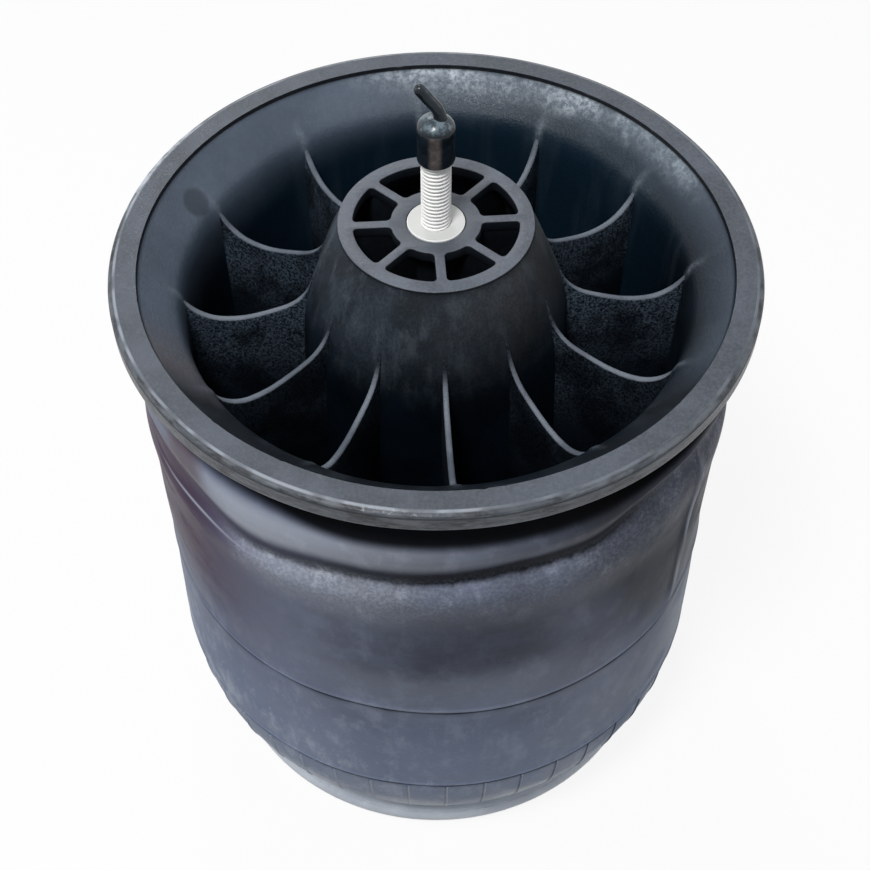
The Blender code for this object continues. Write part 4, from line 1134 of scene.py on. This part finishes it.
def make_stud(material):
    """The stud with a real rolled thread above the hub and a plain shank below."""
    steps = 48
    root_bottom = HUB_Z - 12.0
    rings = [[(STUD_RADIUS, height)] * steps for height in (CLOSURE_TOP - 3.0, root_bottom)]
    levels = int((STUD_TOP - root_bottom) / THREAD_PITCH * 8)
    for k in range(levels + 1):
        ring = []
        for j in range(steps):
            height = root_bottom + (STUD_TOP - 1.0 - root_bottom) * k / levels
            phase = (height / THREAD_PITCH - j / steps) % 1.0
            depth = THREAD_DEPTH * blended(abs(phase - 0.5) * 2.0, 0.25, 0.85)
            depth *= blended(height, root_bottom, root_bottom + 3.0)
            ring.append((STUD_RADIUS - depth, height))
        rings.append(ring)
    rings.append([(STUD_RADIUS - THREAD_DEPTH - 0.4, STUD_TOP)] * steps)
    turned = [[at(math.tau * j / steps, *point) for j, point in enumerate(ring)] for ring in rings]
    mesh = lofted_mesh("stud_thread", [turned])
    top, foot = CLOSURE_TOP - 4.3, CLOSURE_TOP - 10.3
    head = [(0.0, top, 0.0), (15.0, top, 0.6), (15.0, foot, 0.6), (0.0, foot, 0.0)]
    head_mesh = turned_mesh("stud_head", filleted(head), 64)
    stud = piece("stud_thread", mesh, material, "piston_body", sharp=70.0)
    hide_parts("piston_stud")
    piece("stud_head", head_mesh, material, "piston_body")


def make_bush(material):
    """The bush whose flange shows as the white washer, with its edge broken."""
    foot = CLOSURE_TOP + 0.3
    face = HUB_Z + 0.3
    corners = [
        (6.38, foot, 0.0),
        (9.4, foot, 0.3),
        (9.4, face - 1.8, 0.2),
        (BUSH_FLANGE, face - 1.8, 0.2),
        (BUSH_FLANGE, face, 0.5),
        (6.38, face, 0.2),
    ]
    mesh = turned_mesh("bush_flange", filleted(corners), 96)
    bush = piece("bush_flange", mesh, material, "piston_body")
    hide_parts("compression_bush")


def make_cap(material):
    """The dipped cap: a thick rolled lip, a soft dome and a tail that leans away from the axis."""
    top = STUD_TOP + 0.3 + 4.2
    roof = STUD_TOP + 0.3
    section = [(6.65, CAP_MOUTH + 0.6)]
    section += arc((7.25, CAP_MOUTH + 0.62), 0.6, 200.0, 360.0, 8)
    waist = (CAP_RADIUS - 0.15, CAP_MOUTH + 8.0)
    section += smooth_path([(CAP_RADIUS, CAP_MOUTH + 2.2), waist, (CAP_RADIUS, top - 6.4)], 5)
    for angle in range(8, 90, 9):
        share_out, share_up = polar((0.0, 0.0), 1.0, angle)
        section.append((CAP_RADIUS * share_out, top - 6.0 + 6.0 * share_up))
    section += [(0.0, top), (0.0, roof), (5.65, roof), (6.65, roof - 1.0)]
    mesh = turned_mesh("cap_body", section, 96)
    cap = piece("cap_body", mesh, material, "cap_body", sharp=60.0)
    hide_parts("thread_cap")
    make_tail(material, top)


def make_tail(material, top):
    """The tail as a soft tapered rod with a rounded tip."""
    lean = math.radians(40.0)
    place = Vector((1.2, 0.0, top - 2.6))
    line = [place.copy()]
    place = Vector((1.6, 0.0, top - 0.4))
    line.append(place.copy())
    for i in range(1, 7):
        angle = lean * min(1.0, i / 3)
        along = Vector((-math.sin(angle), math.sin(angle) * 0.25, math.cos(angle)))
        place = place + along * (14.6 / 6)
        line.append(place.copy())
    path = smooth_path([tuple(p) for p in line], 4)
    ends = [Vector(p) for p in path]
    direction = (ends[-1] - ends[-2]).normalized()
    radii = [2.5 + 0.9 * math.exp(-i / 3.0) for i in range(len(ends))]
    for angle in (30.0, 55.0, 75.0, 88.0):
        ends.append(ends[len(path) - 1] + direction * 2.4 * math.sin(math.radians(angle)))
        radii.append(2.5 * math.cos(math.radians(angle)))
    rings = []
    for i, centre in enumerate(ends):
        before = ends[max(i - 1, 0)]
        after = ends[min(i + 1, len(ends) - 1)]
        axis = (after - before).normalized()
        side = axis.cross(Vector((0.0, 1.0, 0.0))).normalized()
        other = axis.cross(side)
        ring = []
        for k in range(24):
            a = math.tau * k / 24
            ring.append(tuple((centre + (side * math.cos(a) + other * math.sin(a)) * radii[i]) * MM))
        rings.append(ring)
    mesh = lofted_mesh("cap_tail", [rings])
    piece("cap_tail", mesh, material, "cap_body", sharp=60.0)


def dress_cad(materials):
    """Gives each CAD node that stays in view its own finish."""
    finishes = {"bead_plate": materials["plate"], "bumper": materials["bumper"]}
    plated = ["air_inlet_boss", "upper_bead_core", "lower_bead_core", "end_closure", "bumper_washer"]
    for name in plated + ["bumper_screw"] + [f"blind_nut_{index}" for index in range(1, 5)]:
        finishes[name] = materials["plated"]
    for name, material in finishes.items():
        node = frame["nodes"][name]
        node.data.materials.clear()
        node.data.materials.append(material)


# Stage, light and camera


def seen_directly(tree):
    """1 for camera, mirror and glass rays, and 0 for the rays that light the object."""
    rays = add(tree, "ShaderNodeLightPath").outputs
    seen = rays["Is Camera Ray"]
    for kind in ("Is Glossy Ray", "Is Transmission Ray"):
        seen = add(tree, "ShaderNodeMath", {0: seen, 1: rays[kind]}, operation="MAXIMUM").outputs[0]
    return seen


def make_world():
    """An even pale sky at a plain level, shown as white."""
    world = bpy.data.worlds.new("studio")
    bpy.context.scene.world = world
    world.use_nodes = True
    tree = world.node_tree
    tree.nodes.clear()
    seen = seen_directly(tree)
    plain = add(tree, "ShaderNodeBackground", {"Color": linear("E6EAF0"), "Strength": 0.34})
    white = add(tree, "ShaderNodeBackground", {"Color": linear("F8F8F8"), "Strength": 1.0})
    both = add(tree, "ShaderNodeMixShader", {0: seen, 1: plain.outputs[0], 2: white.outputs[0]})
    add(tree, "ShaderNodeOutputWorld", {"Surface": both.outputs[0]})


def make_floor():
    """A white floor that keeps the spring's soft shadow and throws little light back at it."""
    mesh = bpy.data.meshes.new("floor")
    side = 40.0
    corners = [(-side, -side, 0), (side, -side, 0), (side, side, 0), (-side, side, 0)]
    mesh.from_pydata(corners, [], [(0, 1, 2, 3)])
    material = bpy.data.materials.new("studio_floor_paper")
    material.use_nodes = True
    tree = material.node_tree
    shader = tree.nodes["Principled BSDF"]
    shader.inputs["Roughness"].default_value = 0.9
    seen = seen_directly(tree)
    tree.links.new(lay("8C8C8C", "F4F4F4", seen), shader.inputs["Base Color"])
    glow = add(tree, "ShaderNodeEmission", {"Color": (1.0, 1.0, 1.0, 1.0), "Strength": 1.0})
    whitened = {0: share(seen, 0.88), 1: shader.outputs[0], 2: glow.outputs[0]}
    both = add(tree, "ShaderNodeMixShader", whitened)
    tree.links.new(both.outputs[0], tree.nodes["Material Output"].inputs["Surface"])
    mesh.materials.append(material)
    floor = bpy.data.objects.new("floor", mesh)
    bpy.context.scene.collection.objects.link(floor)
    floor.location.z = -0.0005


def make_light(name, place, size, power):
    """A square softbox that looks at the middle of the spring."""
    data = bpy.data.lights.new(name, "AREA")
    data.shape = "SQUARE"
    data.size = size
    data.energy = power
    lamp = bpy.data.objects.new(name, data)
    lamp.location = place
    aim = Vector((0.0, 0.0, 0.2)) - Vector(place)
    lamp.rotation_euler = aim.to_track_quat("-Z", "Y").to_euler()
    bpy.context.scene.collection.objects.link(lamp)


def make_camera():
    """The photograph's view: from the front, about 51 degrees down, with a short lens."""
    data = bpy.data.cameras.new("camera")
    data.lens = 66.2
    data.sensor_width = 36.0
    camera = bpy.data.objects.new("camera", data)
    camera.location = (0.0, -0.4934, 0.7907)
    camera.rotation_euler = (math.radians(39.13), 0.0, 0.0)
    data.shift_x = -0.0012
    bpy.context.scene.collection.objects.link(camera)
    bpy.context.scene.camera = camera


def main():
    """Builds finishes, pieces, stage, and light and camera."""
    bpy.context.scene.view_settings.view_transform = "Standard"
    materials = {
        "shell": funnel_nylon(),
        "disc": disc_nylon(),
        "rib": rib_nylon(),
        "core": core_nylon(),
        "rubber": moulded_rubber(),
        "plate": coated_steel(),
        "plated": plated_steel(),
        "white": white_coating(),
        "vinyl": dipped_vinyl(),
        "bumper": bumper_rubber(),
    }
    make_piston_shell(materials["shell"])
    make_ribs(materials["rib"])
    make_hub_disc(materials["disc"])
    make_hub_inside(materials["core"])
    make_sleeve(materials["rubber"])
    make_curl(materials["plate"])
    make_stud(materials["white"])
    make_bush(materials["white"])
    make_cap(materials["vinyl"])
    dress_cad(materials)
    make_world()
    make_floor()
    make_light("key_softbox", (-0.36, -0.76, 2.00), 0.40, 28.0)
    make_light("left_strip", (-1.40, 0.10, 0.55), 0.35, 3.0)
    make_light("right_strip", (1.30, 0.10, 0.70), 0.30, 1.2)
    make_light("back_softbox", (-0.30, 1.10, 1.30), 0.50, 4.0)
    make_camera()


main()
